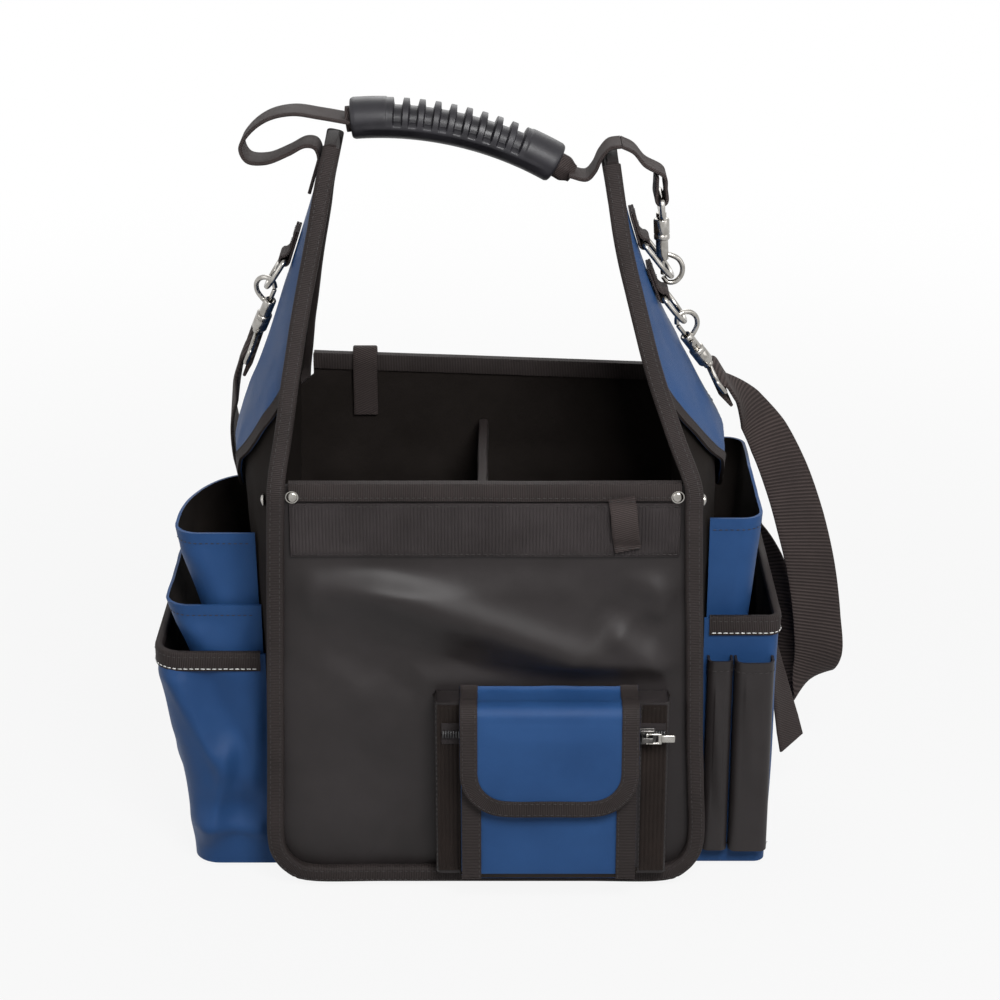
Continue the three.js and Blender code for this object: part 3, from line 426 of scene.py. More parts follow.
def sweepRings(path, section, ups, closed=False):
    path = np.asarray(path, float)
    if closed:
        along = unit(np.roll(path, -1, axis=0) - np.roll(path, 1, axis=0))
    else:
        along = unit(np.gradient(path, axis=0))
    ups = np.broadcast_to(np.asarray(ups, float), path.shape)
    ups = unit(ups - along * np.sum(ups * along, axis=1, keepdims=True))
    across = np.cross(ups, along)
    section = np.asarray(section, float)
    if section.ndim == 2:
        section = np.broadcast_to(section, (len(path), *section.shape))
    return path[:, None] + across[:, None] * section[..., :1] + ups[:, None] * section[..., 1:]


def circle(radius, sides):
    turn = 2 * math.pi * np.arange(sides) / sides
    return np.stack([radius * np.cos(turn), radius * np.sin(turn)], -1)


def tubePart(path, radius, sides=14, closed=False):
    path = np.asarray(path, float)
    along = unit(np.gradient(path, axis=0))
    ups = np.where(np.abs(along[:, 1:2]) < 0.85, np.array([[0, 1.0, 0]]), np.array([[1.0, 0, 0]]))
    if closed or np.ptp(path[:, 0]) < 0.01:
        ups = np.broadcast_to(np.array([1.0, 0, 0]), path.shape)
    return loftPart(sweepRings(path, circle(radius, sides), ups, closed), closed)


def turnedPart(outline, sides=32):
    turn = 2 * math.pi * np.arange(sides) / sides
    rings = [np.stack([r * np.cos(turn), r * np.sin(turn), np.full(sides, z)], -1) for r, z in outline]
    return loftPart(rings)


def placePart(part, matrix, origin):
    points, faces, flat, kind = part
    return points @ np.asarray(matrix, float).T + np.asarray(origin, float), faces, flat, kind


def makeObject(name, parts, materials):
    points, faces, flats, kinds = [], [], [], []
    start = 0
    for part in parts:
        p, f, flat, kind = part
        tris = [(g[0], g[i], g[i + 1]) for g in f for i in range(1, len(g) - 1)]
        corners = p[np.array(tris)]
        volume = np.sum(corners[:, 0] * np.cross(corners[:, 1], corners[:, 2]))
        if volume < 0:  # turn the part so that its faces point outwards
            ends = np.cumsum([len(g) for g in f])
            flat = np.vstack([flat[e - len(g):e][::-1] for e, g in zip(ends, f)])
            f = [g[::-1] for g in f]
        points.append(p)
        faces += [[i + start for i in g] for g in f]
        flats.append(flat)
        kinds.append(kind)
        start += len(p)
    mesh = bpy.data.meshes.new(name)
    mesh.from_pydata((np.vstack(points) * mm).tolist(), [], faces)
    layer = mesh.uv_layers.new(name="cloth")
    layer.data.foreach_set("uv", (np.vstack(flats) * mm).astype(np.float32).ravel())
    for material in materials:
        mesh.materials.append(looks[material])
    mesh.polygons.foreach_set("material_index", np.concatenate(kinds).astype(np.int32))
    mesh.shade_smooth()
    mesh.set_sharp_from_angle(angle=math.radians(48))
    obj = bpy.data.objects.new(name, mesh)
    scene.collection.objects.link(obj)
    return obj


def settle(obj, body="bag", nodes=()):
    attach(obj, body)
    if nodes:
        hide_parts(*nodes)
    return obj


# a strip of webbing along a route of (point, direction of its width)

def ribbonRings(route, width, thick, each=8):
    path, marks = smoothPath([p for p, _ in route], each)
    keys = unit([w for _, w in route])
    k = np.minimum(marks.astype(int), len(route) - 2)
    t = (marks - k)[:, None]
    ups = unit(keys[k] * (1 - t) + keys[k + 1] * t)
    half, edge = width / 2, thick / 2
    row = np.concatenate([[-half], np.linspace(-half + 0.7, half - 0.7, 11), [half]])
    fat = np.where(np.abs(row) > half - 0.3, edge * 0.45, edge)
    section = np.vstack([np.stack([fat, row], -1), np.stack([-fat, row], -1)[::-1]])
    return sweepRings(path, section, ups)


def ribbonPart(route, width, thick, each=8):
    return loftPart(ribbonRings(route, width, thick, each))


# stitches, rivets and zip teeth come from one kind of tree: a shape repeated on points

def repeatTree(name, inputs, makePoints, makeShape):
    tree = bpy.data.node_groups.new(name, "GeometryNodeTree")
    for way in ("INPUT", "OUTPUT"):
        tree.interface.new_socket("Geometry", in_out=way, socket_type="NodeSocketGeometry")
    tree.interface.new_socket("Material", in_out="INPUT", socket_type="NodeSocketMaterial")
    for label, value in inputs.items():
        socket = tree.interface.new_socket(label, in_out="INPUT", socket_type="NodeSocketFloat")
        socket.default_value = value * mm
    source = addNode(tree, "NodeGroupInput")
    result = addNode(tree, "NodeGroupOutput")
    points, way = makePoints(tree, source)
    turn = addNode(tree, "FunctionNodeAlignRotationToVector", {"axis": "Z"})
    wire(tree, way, turn.inputs["Vector"])
    dots = addNode(tree, "GeometryNodeInstanceOnPoints")
    wire(tree, points, dots.inputs["Points"])
    wire(tree, makeShape(tree, source), dots.inputs["Instance"])
    wire(tree, turn.outputs[0], dots.inputs["Rotation"])
    real = addNode(tree, "GeometryNodeRealizeInstances")
    wire(tree, dots.outputs[0], real.inputs[0])
    paint = addNode(tree, "GeometryNodeSetMaterial")
    wire(tree, real.outputs[0], paint.inputs["Geometry"])
    wire(tree, source.outputs["Material"], paint.inputs["Material"])
    wire(tree, paint.outputs[0], result.inputs[0])
    return tree


def spacedPoints(tree, source):
    curve = addNode(tree, "GeometryNodeMeshToCurve")
    wire(tree, source.outputs["Geometry"], curve.inputs[0])
    spaced = addNode(tree, "GeometryNodeResampleCurve", {"mode": "LENGTH"})
    wire(tree, curve.outputs[0], spaced.inputs["Curve"])
    wire(tree, source.outputs["Spacing"], spaced.inputs["Length"])
    return spaced.outputs[0], addNode(tree, "GeometryNodeInputTangent").outputs[0]


def markedPoints(tree, source):
    axis = addNode(tree, "GeometryNodeInputNamedAttribute", {"data_type": "FLOAT_VECTOR"}, Name="axis")
    return source.outputs["Geometry"], axis.outputs["Attribute"]


def sizedShape(tree, source, shape, x, y, z):
    size = addNode(tree, "ShaderNodeCombineXYZ")
    for key, label in (("X", x), ("Y", y), ("Z", z)):
        wire(tree, source.outputs[label], size.inputs[key])
    grow = addNode(tree, "GeometryNodeTransform")
    wire(tree, shape, grow.inputs["Geometry"])
    wire(tree, size.outputs[0], grow.inputs["Scale"])
    return grow.outputs[0]


def stitchShape(tree, source):
    bead = addNode(tree, "GeometryNodeMeshUVSphere", Segments=6, Rings=4, Radius=1.0)
    return sizedShape(tree, source, bead.outputs["Mesh"], "Thread", "Thread", "Length")


def toothShape(tree, source):
    block = addNode(tree, "GeometryNodeMeshCube")
    return sizedShape(tree, source, block.outputs["Mesh"], "Width", "Height", "Thick")


def rivetShape(tree, source):
    ball = addNode(tree, "GeometryNodeMeshUVSphere", Segments=24, Rings=12, Radius=1.0)
    dome = sizedShape(tree, source, ball.outputs["Mesh"], "Head", "Head", "Dome")
    disc = addNode(tree, "GeometryNodeMeshCylinder", Vertices=24)
    wire(tree, mathNode(tree, "MULTIPLY", source.outputs["Head"], 1.15), disc.inputs["Radius"])
    wire(tree, source.outputs["Flange"], disc.inputs["Depth"])
    both = addNode(tree, "GeometryNodeJoinGeometry")
    wire(tree, dome, both.inputs[0])
    wire(tree, disc.outputs["Mesh"], both.inputs[0])
    return both.outputs[0]


stitchTree = repeatTree("stitch rows", {"Spacing": 3.4, "Thread": 0.3, "Length": 1.3}, spacedPoints,
                        stitchShape)
toothTree = repeatTree("zip teeth", {"Spacing": 3.4, "Width": 2.0, "Height": 1.0, "Thick": 1.0}, spacedPoints,
                       toothShape)
rivetTree = repeatTree("rivets", {"Head": 3.2, "Dome": 1.5, "Flange": 0.5}, markedPoints, rivetShape)


def grown(name, mesh, tree, material, sizes):
    obj = bpy.data.objects.new(name, mesh)
    scene.collection.objects.link(obj)
    mod = obj.modifiers.new("repeats", "NODES")
    mod.node_group = tree
    values = {"Material": looks[material], **{key: value * mm for key, value in sizes.items()}}
    for item in tree.interface.items_tree:
        if item.in_out == "INPUT" and item.name in values:
            mod[item.identifier] = values[item.name]
    view = bpy.context.evaluated_depsgraph_get()
    done = bpy.data.meshes.new_from_object(obj.evaluated_get(view))
    obj.modifiers.clear()
    obj.data = done
    done.name = name
    done.shade_smooth()
    return obj


def alongLines(name, lines, tree, material, **sizes):
    points, edges = [], []
    for line in lines:
        start = len(points)
        points += (np.asarray(line, float) * mm).tolist()
        edges += [(start + i, start + i + 1) for i in range(len(line) - 1)]
    mesh = bpy.data.meshes.new(name)
    mesh.from_pydata(points, edges, [])
    return grown(name, mesh, tree, material, sizes)


# the bag's outline: the same rules of shape as the solids
bag = {"baseHalf": 124.0, "rimHalf": 116.0, "halfDepth": 98.0, "rim": 252.0, "foot": 3.4,
       "apexDepth": 14.0, "corner": 24.0, "wall": 3.0, "cover": 3.7, "gap": 0.4}
leftSide = {"sign": -1, "apexX": 86.0, "apexZ": 424.0, "sag": 2.0, "bow": 27.0}
rightSide = {"sign": 1, "apexX": 71.0, "apexZ": 414.0, "sag": -6.0, "bow": 20.0}
sideNames = (("left", leftSide), ("right", rightSide))
endNames = ((-1, "front"), (1, "back"))


def aboveRim(side, z):
    return np.maximum(0, (np.asarray(z, float) - bag["rim"]) / (side["apexZ"] - bag["rim"]))


def edgeX(side, z):
    z = np.asarray(z, float)
    k = aboveRim(side, z)
    upper = bag["rimHalf"] + (side["apexX"] - bag["rimHalf"]) * k + 4 * side["sag"] * k * (1 - k)
    r = bag["corner"]
    rise = r - np.minimum(z, r)
    tuck = r - np.sqrt(np.maximum(0, r**2 - rise**2))
    lower = bag["baseHalf"] + (bag["rimHalf"] - bag["baseHalf"]) * z / bag["rim"] - tuck
    return np.where(k > 0, upper, lower)


def depthAt(side, z):
    return bag["halfDepth"] + (bag["apexDepth"] - bag["halfDepth"]) * aboveRim(side, z)


def wallX(side, y, z):
    k = aboveRim(side, z)
    low = side["bow"] * (np.clip(np.asarray(z, float), 0, None) / bag["rim"]) ** 0.8
    bow = np.where(k > 0, side["bow"] * np.maximum(0, 1 - k) ** 1.4, low)
    t = np.minimum(1, np.abs(y) / depthAt(side, z))
    return edgeX(side, z) + bow * (1 - t * t)


def wallEdge(side, z):
    straight = bag["halfDepth"] - bag["wall"] - bag["gap"]
    return np.where(np.asarray(z) < bag["rim"] + 8, straight, depthAt(side, z))


darkLines, whiteLines, flapLines = [], [], []


# front and back panels: coated cloth that hangs in long slanting folds
frontCloth = {
    "thick": 3.0,
    "folds": [  # start and end as (x, z), height, width
        ((-90, 203), (88, 134), 10.5, 12.0),
        ((72, 164), (108, 135), 4.5, 7.0),
        ((78, 202), (111, 184), 3.2, 8.0),
        ((101, 206), (100, 172), 2.6, 7.0),
        ((-99, 208), (-97, 172), 2.6, 6.0),
        ((-106, 158), (-52, 96), 2.4, 10.0),
    ],
    "slack": 1.5,
}


def foldHeight(x, z, fold):
    (x0, z0), (x1, z1), high, wide = fold
    length = math.hypot(x1 - x0, z1 - z0)
    dx, dz = (x1 - x0) / length, (z1 - z0) / length
    s = ((x - x0) * dx + (z - z0) * dz) / length
    q = (z - z0) * dx - (x - x0) * dz
    ends = ease(-0.12, 0.15, s) * (1 - ease(0.82, 1.15, s))
    ridge = np.exp(-(q / wide) ** 2)
    above = 0.6 * ridge + 0.4 * np.exp(-(q / (3.4 * wide)) ** 2)  # eases off slowly on both sides
    below = 0.4 * ridge + 0.6 * np.exp(-(q / (2.1 * wide)) ** 2)
    trough = 0.45 * np.exp(-((q + 3.3 * wide) / (1.9 * wide)) ** 2)
    return ends * high * (np.where(q > 0, above, below) - trough)


backCloth = {"raise": 9, "tilt": 0.038, "topStart": 106.8, "topRun": 215.3, "topFoot": 251.5}


def backTop(x):
    return bag["rim"] + backCloth["raise"] - backCloth["tilt"] * x


def endGrid(facing):
    z, u = np.meshgrid(np.linspace(bag["foot"], bag["rim"], 126), np.linspace(-1, 1, 121), indexing="ij")
    x = -facing * u * (edgeX(rightSide, z) + 2)
    if facing > 0:  # the back stands higher than the front and ends short of the edge tapes there
        row = backCloth["topStart"] - backCloth["topRun"] * np.linspace(0, 1, 121)
        upper = np.repeat(row[None, :], 6, axis=0)
        share = np.linspace(0, 1, 6)[:, None]
        x = np.vstack([x[:-4], upper])
        z = np.vstack([z[:-4], backCloth["topFoot"] + (backTop(upper) - backCloth["topFoot"]) * share])
    flat = np.stack([x, np.zeros_like(x), z], -1)
    free = ease(6, 34, z) * ease(0, 20, 206 - z) * ease(2, 26, edgeX(rightSide, z) - np.abs(x))
    if facing < 0:
        free = free * np.maximum(ease(0, 16, z - 129), ease(0, 14, -32 - x))
        rise = sum(foldHeight(x, z, fold) for fold in frontCloth["folds"])
        rise = rise + frontCloth["slack"] * softNoise(flat, 34, 3) + 0.5 * softNoise(flat, 13, 8)
        rise = np.maximum(rise, -2.4 + 0.12 * rise)  # the divider stands behind it
    else:
        rise = -2.2 + 1.2 * softNoise(flat, 42, 5) + 0.4 * softNoise(flat, 14, 9)
    return np.stack([x, facing * (bag["halfDepth"] + free * rise), z], -1)


for facing, end in endNames:
    part = shellPart(endGrid(facing), frontCloth["thick"], inner=1)
    settle(makeObject(f"{end}_panel_cloth", [part], ["coatedBlack", "insideBlack"]),
           nodes=[f"{end}_panel"])

# base: a bound cloth bottom with a stiff board on it
baseSet = {"half": (114.0, 96.0), "corner": 5.0, "thick": 3.0,
           "boardHalf": (109.0, 92.0), "boardCorner": 3.0, "boardTop": 6.4, "soft": 0.8}


def roundedRing(half, corner, z, count=8):
    w, d = half
    turns = np.linspace(0, math.pi / 2, count)
    ring = []
    for k, (sx, sy) in enumerate(((1, 1), (-1, 1), (-1, -1), (1, -1))):
        for a in turns + k * math.pi / 2:
            ring.append((sx * (w - corner) + corner * math.cos(a), sy * (d - corner) + corner * math.sin(a), z))
    return np.array(ring)


def softLevels(low, high, soft):  # heights and cut-backs of a block with softened edges
    return [(low, soft), (low + soft * 0.3, soft * 0.3), (low + soft, 0), (high - soft, 0),
            (high - soft * 0.3, soft * 0.3), (high, soft)]


def slabPart(half, corner, low, high, soft):
    return loftPart([roundedRing((half[0] - cut, half[1] - cut), corner - cut, z)
                     for z, cut in softLevels(low, high, soft)])


basePart = slabPart(baseSet["half"], baseSet["corner"], 0, baseSet["thick"], baseSet["soft"])
settle(makeObject("base_cloth", [basePart], ["coatedBlack"]), nodes=["base_panel"])
boardPart = slabPart(baseSet["boardHalf"], baseSet["boardCorner"], bag["foot"], baseSet["boardTop"],
                     baseSet["soft"])
settle(makeObject("base_board_cover", [boardPart], ["insideBlack"]), nodes=["base_board"])

# side walls: black cloth that runs from the base up into the gables
wallCloth = {"thick": 3.0, "slack": 1.1}


def sideGrid(side, offset, heights, columns):
    z, t = np.meshgrid(heights, np.linspace(-1, 1, columns), indexing="ij")
    y = side["sign"] * t * wallEdge(side, z)
    x = side["sign"] * (wallX(side, y, z) + offset)
    return np.stack([x, y, z], -1)


for name, side in sideNames:
    heights = np.concatenate([np.linspace(bag["foot"], bag["corner"], 9)[:-1],
                              np.linspace(bag["corner"], side["apexZ"], 96)])
    grid = sideGrid(side, wallCloth["thick"] / 2, heights, 61)
    z = grid[..., 2]
    inside = depthAt(side, z) - np.abs(grid[..., 1])
    free = ease(20, 60, z) * ease(0, 40, side["apexZ"] - z) * ease(0, 14, inside)
    sink = wallCloth["slack"] * (0.9 + softNoise(grid, 36, 4) + 0.35 * softNoise(grid, 12, 6))
    grid[..., 0] -= side["sign"] * free * sink
    part = shellPart(grid, wallCloth["thick"])
    settle(makeObject(f"{name}_side_cloth", [part], ["insideBlack"]),
           nodes=[f"{name}_side_panel"])

# blue covers on the gables, with a bound scoop along the lower edge
gableCloth = {
    "thick": 1.6, "belly": 2.0, "bellyHeight": 275.0, "slack": 0.9, "scoopLow": 216, "scoopRise": 72,
    "tape": 9.0, "tapeHang": 0.9, "tapeOut": 0.9, "tapeThick": 1.7,
    # pressed flat behind tabs and a hook: height, place along the bag and depth
    "still": {"left": [(362, 0, 0.0), (307, 16, 1.3)], "right": [(340, 0, 0.0), (372, 0, 0.0)]},
}


def gableGrid(side, still, rows=90, columns=71, strip=None):
    v, t = np.meshgrid(np.linspace(0, 1, rows), np.linspace(-1, 1, columns), indexing="ij")
    low = gableCloth["scoopLow"] + gableCloth["scoopRise"] * np.abs(1.05 * t) ** 1.4
    hang = gableCloth["tapeHang"]
    z = low + (side["apexZ"] - low) * v if strip is None else low - hang + (strip + hang) * v
    y = side["sign"] * t * wallEdge(side, z)
    place = np.stack([wallX(side, y, z), y, z], -1)
    free = ease(0, 16, depthAt(side, z) - np.abs(y)) * ease(30, 70, side["apexZ"] - z)
    dent = np.zeros_like(z)
    for height, along, depth in still:
        free = free * (1 - np.exp(-((z - height) / 26) ** 2 - ((y - along) / 24) ** 2))
        dent = dent + depth * np.exp(-((z - height) / 24) ** 4 - ((y - along) / 20) ** 4)
    rise = gableCloth["belly"] * np.exp(-((z - gableCloth["bellyHeight"]) / 42) ** 2)
    rise = rise + gableCloth["slack"] * (softNoise(place, 30, 2) + 0.4 * softNoise(place, 11, 7))
    x = side["sign"] * (wallX(side, y, z) + bag["cover"] + np.maximum(-0.3, free * rise) - dent)
    return np.stack([x, y, z], -1)


for name, side in sideNames:
    grid = gableGrid(side, gableCloth["still"][name])
    settle(makeObject(f"{name}_gable_cloth", [shellPart(grid, gableCloth["thick"], inner=1)],
                      ["blueCloth", "insideBlack"]), nodes=[f"{name}_gable_cover"])
    lower = gableGrid(side, gableCloth["still"][name], 9, strip=gableCloth["tape"])
    lower[..., 0] += side["sign"] * gableCloth["tapeOut"]
    scoopTape = shellPart(lower, gableCloth["tapeThick"])
    settle(makeObject(f"{name}_scoop_tape", [scoopTape], ["bindingTape"]))
    darkLines.append(lower[7, 2:-2] + np.array([side["sign"] * 0.1, 0, 0]))

# divider across the middle with a folded tape on top
dividerCloth = {"thick": 2.4, "slack": 1.2, "foot": 6.8, "top": 222.0, "half": 93, "tapeHalf": 90}


def foldSection(outer, inner, outLeg, inLeg, top, thick):
    return [(outer, -outLeg), (outer, top - 1.1), (outer - 0.5, top - 0.35), ((outer + inner) / 2, top),
            (inner + 0.5, top - 0.35), (inner, top - 1.1), (inner, -inLeg), (inner + thick, -inLeg),
            (inner + thick, top - thick - 0.2), (outer - thick, top - thick - 0.2), (outer - thick, -outLeg)]


low, high, reach = dividerCloth["foot"], dividerCloth["top"], dividerCloth["half"]
z, y = np.meshgrid(np.linspace(low, high, 60), np.linspace(-reach, reach, 61), indexing="ij")
grid = np.stack([np.full_like(y, -0.8), y, z], -1)
free = ease(8, 30, z - low) * ease(8, 30, high - z) * ease(4, 26, reach - np.abs(y))
grid[..., 0] += free * dividerCloth["slack"] * softNoise(grid, 38, 11)
settle(makeObject("divider_cloth", [shellPart(grid, dividerCloth["thick"])], ["insideBlack"]),
       nodes=["centre_divider"])
reach = dividerCloth["tapeHalf"]
path = np.stack([np.full(61, -2.0), np.linspace(-reach, reach, 61), np.full(61, high)], -1)
path[:, 0] += 0.3 * softNoise(path, 30, 12)
rings = sweepRings(path, foldSection(2.9, -2.9, 8, 8, 1.8, 1.3), (0, 0, 1))
settle(makeObject("divider_tape", [loftPart(rings)], ["bindingTape"]), nodes=["divider_binding"])
for turn in (-1, 1):
    darkLines.append(path + np.array([turn * 3.0, 0, -5.6]))

# folded tapes along the top edges of the front and back panels
rimTape = {"half": 109.5, "backSpan": (-108, 106.3), "leg": 8.6, "thick": 1.3}
for facing, end in endNames:
    x = facing * np.linspace(-rimTape["half"], rimTape["half"], 90)
    z = np.full(90, bag["rim"])
    if facing > 0:
        x = np.linspace(*rimTape["backSpan"], 90)
        z = backTop(x)
    path = np.stack([x, np.full(90, facing * bag["halfDepth"]), z], -1)
    path[:, 2] += 0.35 * softNoise(path, 40, 14)
    section = foldSection(1.8, -4.8, rimTape["leg"], rimTape["leg"], 1.8, rimTape["thick"])
    rings = sweepRings(path, section, (0, 0, 1))
    settle(makeObject(f"{end}_rim_tape", [loftPart(rings)], ["bindingTape"]),
           nodes=[f"{end}_rim_binding"])
    darkLines.append(path + np.array([0, facing * 1.95, -6.6]))

# raised tapes that frame the end panels and climb the gable edges to the apexes
edgeTape = {"wide": 10.0, "deep": 7.0, "middle": 101.9, "apexMiddle": 18.4, "bend": 22.0, "bendTop": 32.0,
            "foot": 8.5, "wave": 0.55}


def edgeRun(side, facing):
    climb = bag["rim"] + (side["apexZ"] - bag["rim"]) * np.array([1, 0.8, 0.57, 0.34, 0.14, 0])
    bendTop = edgeTape["bendTop"]
    heights = np.concatenate([climb, [235, 180, 120, 70, bendTop]])
    depth = edgeTape["middle"] + (edgeTape["apexMiddle"] - edgeTape["middle"]) * aboveRim(side, heights)
    run = np.stack([side["sign"] * edgeX(side, heights), facing * depth, heights], -1)
    bend = edgeTape["bend"]
    middle = float(edgeX(side, bendTop)) - bend
    turn = np.radians([22, 45, 68, 90])
    drop = bendTop - edgeTape["foot"]
    corner = np.stack([side["sign"] * (middle + bend * np.cos(turn)), np.full(4, facing * edgeTape["middle"]),
                       bendTop - drop * np.sin(turn)], -1)
    return np.vstack([run, corner])


def softBlock(wide, deep, sides=28, power=3.2):
    turn = 2 * math.pi * np.arange(sides) / sides
    c, s = np.cos(turn), np.sin(turn)
    return np.stack([np.sign(c) * np.abs(c) ** (2 / power) * wide / 2,
                     np.sign(s) * np.abs(s) ** (2 / power) * deep / 2], -1)


for facing, end in endNames:
    foot = np.array([[x, facing * edgeTape["middle"], edgeTape["foot"]] for x in (-60, 0, 60)])
    path, _ = smoothPath(np.vstack([edgeRun(leftSide, facing), foot, edgeRun(rightSide, facing)[::-1]]), 14)
    wave = edgeTape["wave"] * ease(0, 60, path[:, 2])
    path[:, 0] += wave * softNoise(path, 30, 15)
    section = softBlock(edgeTape["wide"], edgeTape["deep"])
    rings = sweepRings(path, section, (0, 1, 0))
    settle(makeObject(f"{end}_edge_tape", [loftPart(rings)], ["bindingTape"]),
           nodes=[f"{end}_edge_binding"])
    for share in (-0.27, 0.27):
        line = sweepRings(path, [(share * edgeTape["wide"], facing * (edgeTape["deep"] / 2 - 0.02))], (0, 1, 0))
        darkLines.append(line[3:-3, 0])

# short tapes over the top edge of each apex
apexTape = {"half": 17.4, "leg": 6.5, "thick": 1.2}
for name, side in sideNames:
    y = side["sign"] * np.linspace(apexTape["half"], -apexTape["half"], 24)
    path = np.stack([np.full(24, side["sign"] * side["apexX"]), y, np.full(24, side["apexZ"])], -1)
    section = foldSection(4.2, -2.6, apexTape["leg"], apexTape["leg"], 1.9, apexTape["thick"])
    rings = sweepRings(path, section, (0, 0, 1))
    settle(makeObject(f"{name}_apex_tape", [loftPart(rings)], ["bindingTape"]))

# ribbed band under the rim, with a small tab sewn over it
bandSet = {"half": 109.0, "low": 210.0, "high": 242.0, "face": 100.4, "thick": 1.3, "rib": 1.9, "relief": 0.5}
for facing, end in endNames:
    z, x = np.meshgrid(np.linspace(bandSet["low"], bandSet["high"], 13),
                       -facing * np.linspace(-bandSet["half"], bandSet["half"], 689), indexing="ij")
    shape = ease(0, 2.5, np.minimum(z - bandSet["low"], bandSet["high"] - z))
    rib = np.abs(np.sin(math.pi * x / bandSet["rib"])) ** 0.7
    uneven = 0.25 * softNoise(np.stack([x, x * 0, z], -1), 25, 16)
    y = facing * (bandSet["face"] - bandSet["relief"] * (1 - rib * shape) + uneven)
    part = shellPart(np.stack([x, y, z], -1), bandSet["thick"])
    settle(makeObject(f"{end}_band_web", [part], ["bandWebbing"]), nodes=[f"{end}_band"])
    for height in (bandSet["low"] + 1.6, bandSet["high"] - 1.6):
        row = np.linspace(-bandSet["half"] + 2, bandSet["half"] - 2, 60)
        face = np.full(60, facing * (bandSet["face"] + 0.1))
        darkLines.append(np.stack([row, face, np.full(60, height)], -1))

tabSet = {"width": 15.0, "thick": 2.0, "x": 76.0, "out": 101.8, "backRaise": 12.0}
for facing, end in endNames:
    lifts = [(246, 0), (242, 0), (237, 1.8), (230, 2.6), (223, 1.8), (218, 0), (215, 0)]
    up = tabSet["backRaise"] if facing > 0 else 0
    route = [((-facing * (tabSet["x"] + 0.7 * i), facing * (tabSet["out"] + lift), z + up), (1, 0, 0.1 * facing))
             for i, (z, lift) in enumerate(lifts)]
    if facing > 0:  # the rear tab passes over the rim and is sewn down inside
        over = [(93.0, 226), (92.4, 240), (92.0, 254), (92.2, 264), (94.6, 268.4), (98.5, 268.6), (101.4, 266.6),
                (101.9, 262)]
        route = [((-facing * tabSet["x"], y, z), (1, 0, 0)) for y, z in over] + route
    settle(makeObject(f"{end}_tab_web", [ribbonPart(route, tabSet["width"], tabSet["thick"])], ["narrowWebbing"]),
           nodes=[f"{end}_tab"])
    for z in (244.4, 216.4):
        i = (246 - z) / 4.6
        x0 = -facing * (tabSet["x"] + 0.5 * i)
        y0 = facing * (tabSet["out"] + 1.1)
        darkLines.append(np.array([[x0 - 6, y0, z + up], [x0 + 6, y0, z + up]]))
print("body panels, tapes and bands made")


# pockets: a wall of cloth round three sides, blue outside and dark inside
def onLeft(a, n, z):
    return np.stack([-n, -a, z], -1)


def onRight(a, n, z):
    return np.stack([n, a, z], -1)


def onFront(a, n, z):
    return np.stack([a, -n, z], -1)


pocketSets = {
    "left_lower": {"place": onLeft, "side": leftSide, "span": (-80, 80), "radius": 16, "bound": True,
                   "levels": [(2, 175), (40, 177), (62, 179.5), (85, 183.5), (105, 187.5), (122, 190.5),
                              (140, 192)],
                   "seed": 21, "slack": 2.6,
                   "creases": [((-30, 118), (52, 66), 3.4, 8.0), ((66, 96), (40, 30), 2.8, 7.0),
                               ((-66, 92), (-36, 22), 2.8, 8.0)],
                   "legCreases": [((186, 136), (156, 66), 5.6, 5.0), ((150, 84), (166, 14), 5.0, 5.0),
                                  ((126, 132), (140, 48), 4.0, 6.0), ((172, 30), (122, 22), 3.4, 4.5)]},
    "left_middle": {"place": onLeft, "side": leftSide, "span": (-73, 73), "radius": 14, "bound": False,
                    "levels": [(70, 150), (140, 175), (168, 187)], "seed": 22, "slack": 2.2,
                    "creases": [((-10, 166), (46, 140), 1.8, 6.0)],
                    "legCreases": [((178, 166), (150, 128), 2.2, 6.0), ((140, 166), (146, 120), 1.8, 5.0)]},
    "left_upper": {"place": onLeft, "side": leftSide, "span": (-30, 66), "radius": 14, "bound": False,
                   "levels": [(112, 152), (160, 166), (210, 180)], "seed": 23, "slack": 2.2, "sweepOut": 70,
                   "creases": [((2, 204), (44, 168), 2.0, 7.0)],
                   "legCreases": [((172, 206), (146, 160), 2.0, 6.0)]},
    "right_lower": {"place": onRight, "side": rightSide, "span": (-78, 78), "radius": 7, "bound": True,
                    "levels": [(2, 167), (80, 170), (162, 170)], "seed": 24, "slack": 1.6,
                    "creases": [((-52, 136), (-20, 60), 1.8, 8.0), ((24, 60), (58, 128), 1.8, 8.0)]},
    "right_upper": {"place": onRight, "side": rightSide, "span": (-68, 68), "radius": 12, "bound": False,
                    "levels": [(112, 150), (220, 160)], "seed": 25, "slack": 1.8,
                    "creases": [((-44, 214), (-6, 176), 1.6, 7.0)]},
}
pocketCloth = {"thick": 1.8,
               "tuck": 2.2,  # rise of the cloth where a floor or lid turns in
               "off": 2.3,  # distance of the back edges from the side wall
               "wallFoot": 9.0}  # lowest height at which the wall is followed


def planCorner(start, inward, back, out, radius, sweepOut, legs):
    long = max(radius, sweepOut)
    deep = max(radius, out - back - 1) if sweepOut > radius else radius
    turn = np.linspace(0, math.pi / 2, 28 if sweepOut > radius else 10)
    leg = np.stack([np.full(legs, start), np.linspace(back, out - deep, legs + 1)[:-1]], -1)
    bend = np.stack([start + inward * long * (1 - np.cos(turn)), out - deep + deep * np.sin(turn)], -1)
    return np.vstack([leg, bend])


def planRow(span, back, out, radius, sweepOut=0, legs=26, front=64):
    near = planCorner(span[0], 1, back[0], out, radius, sweepOut, legs)
    far = planCorner(span[1], -1, back[1], out, radius, 0, legs)[::-1]
    face = np.stack([np.linspace(near[-1, 0], far[0, 0], front + 2)[1:-1], np.full(front, out)], -1)
    return np.vstack([near, face, far])


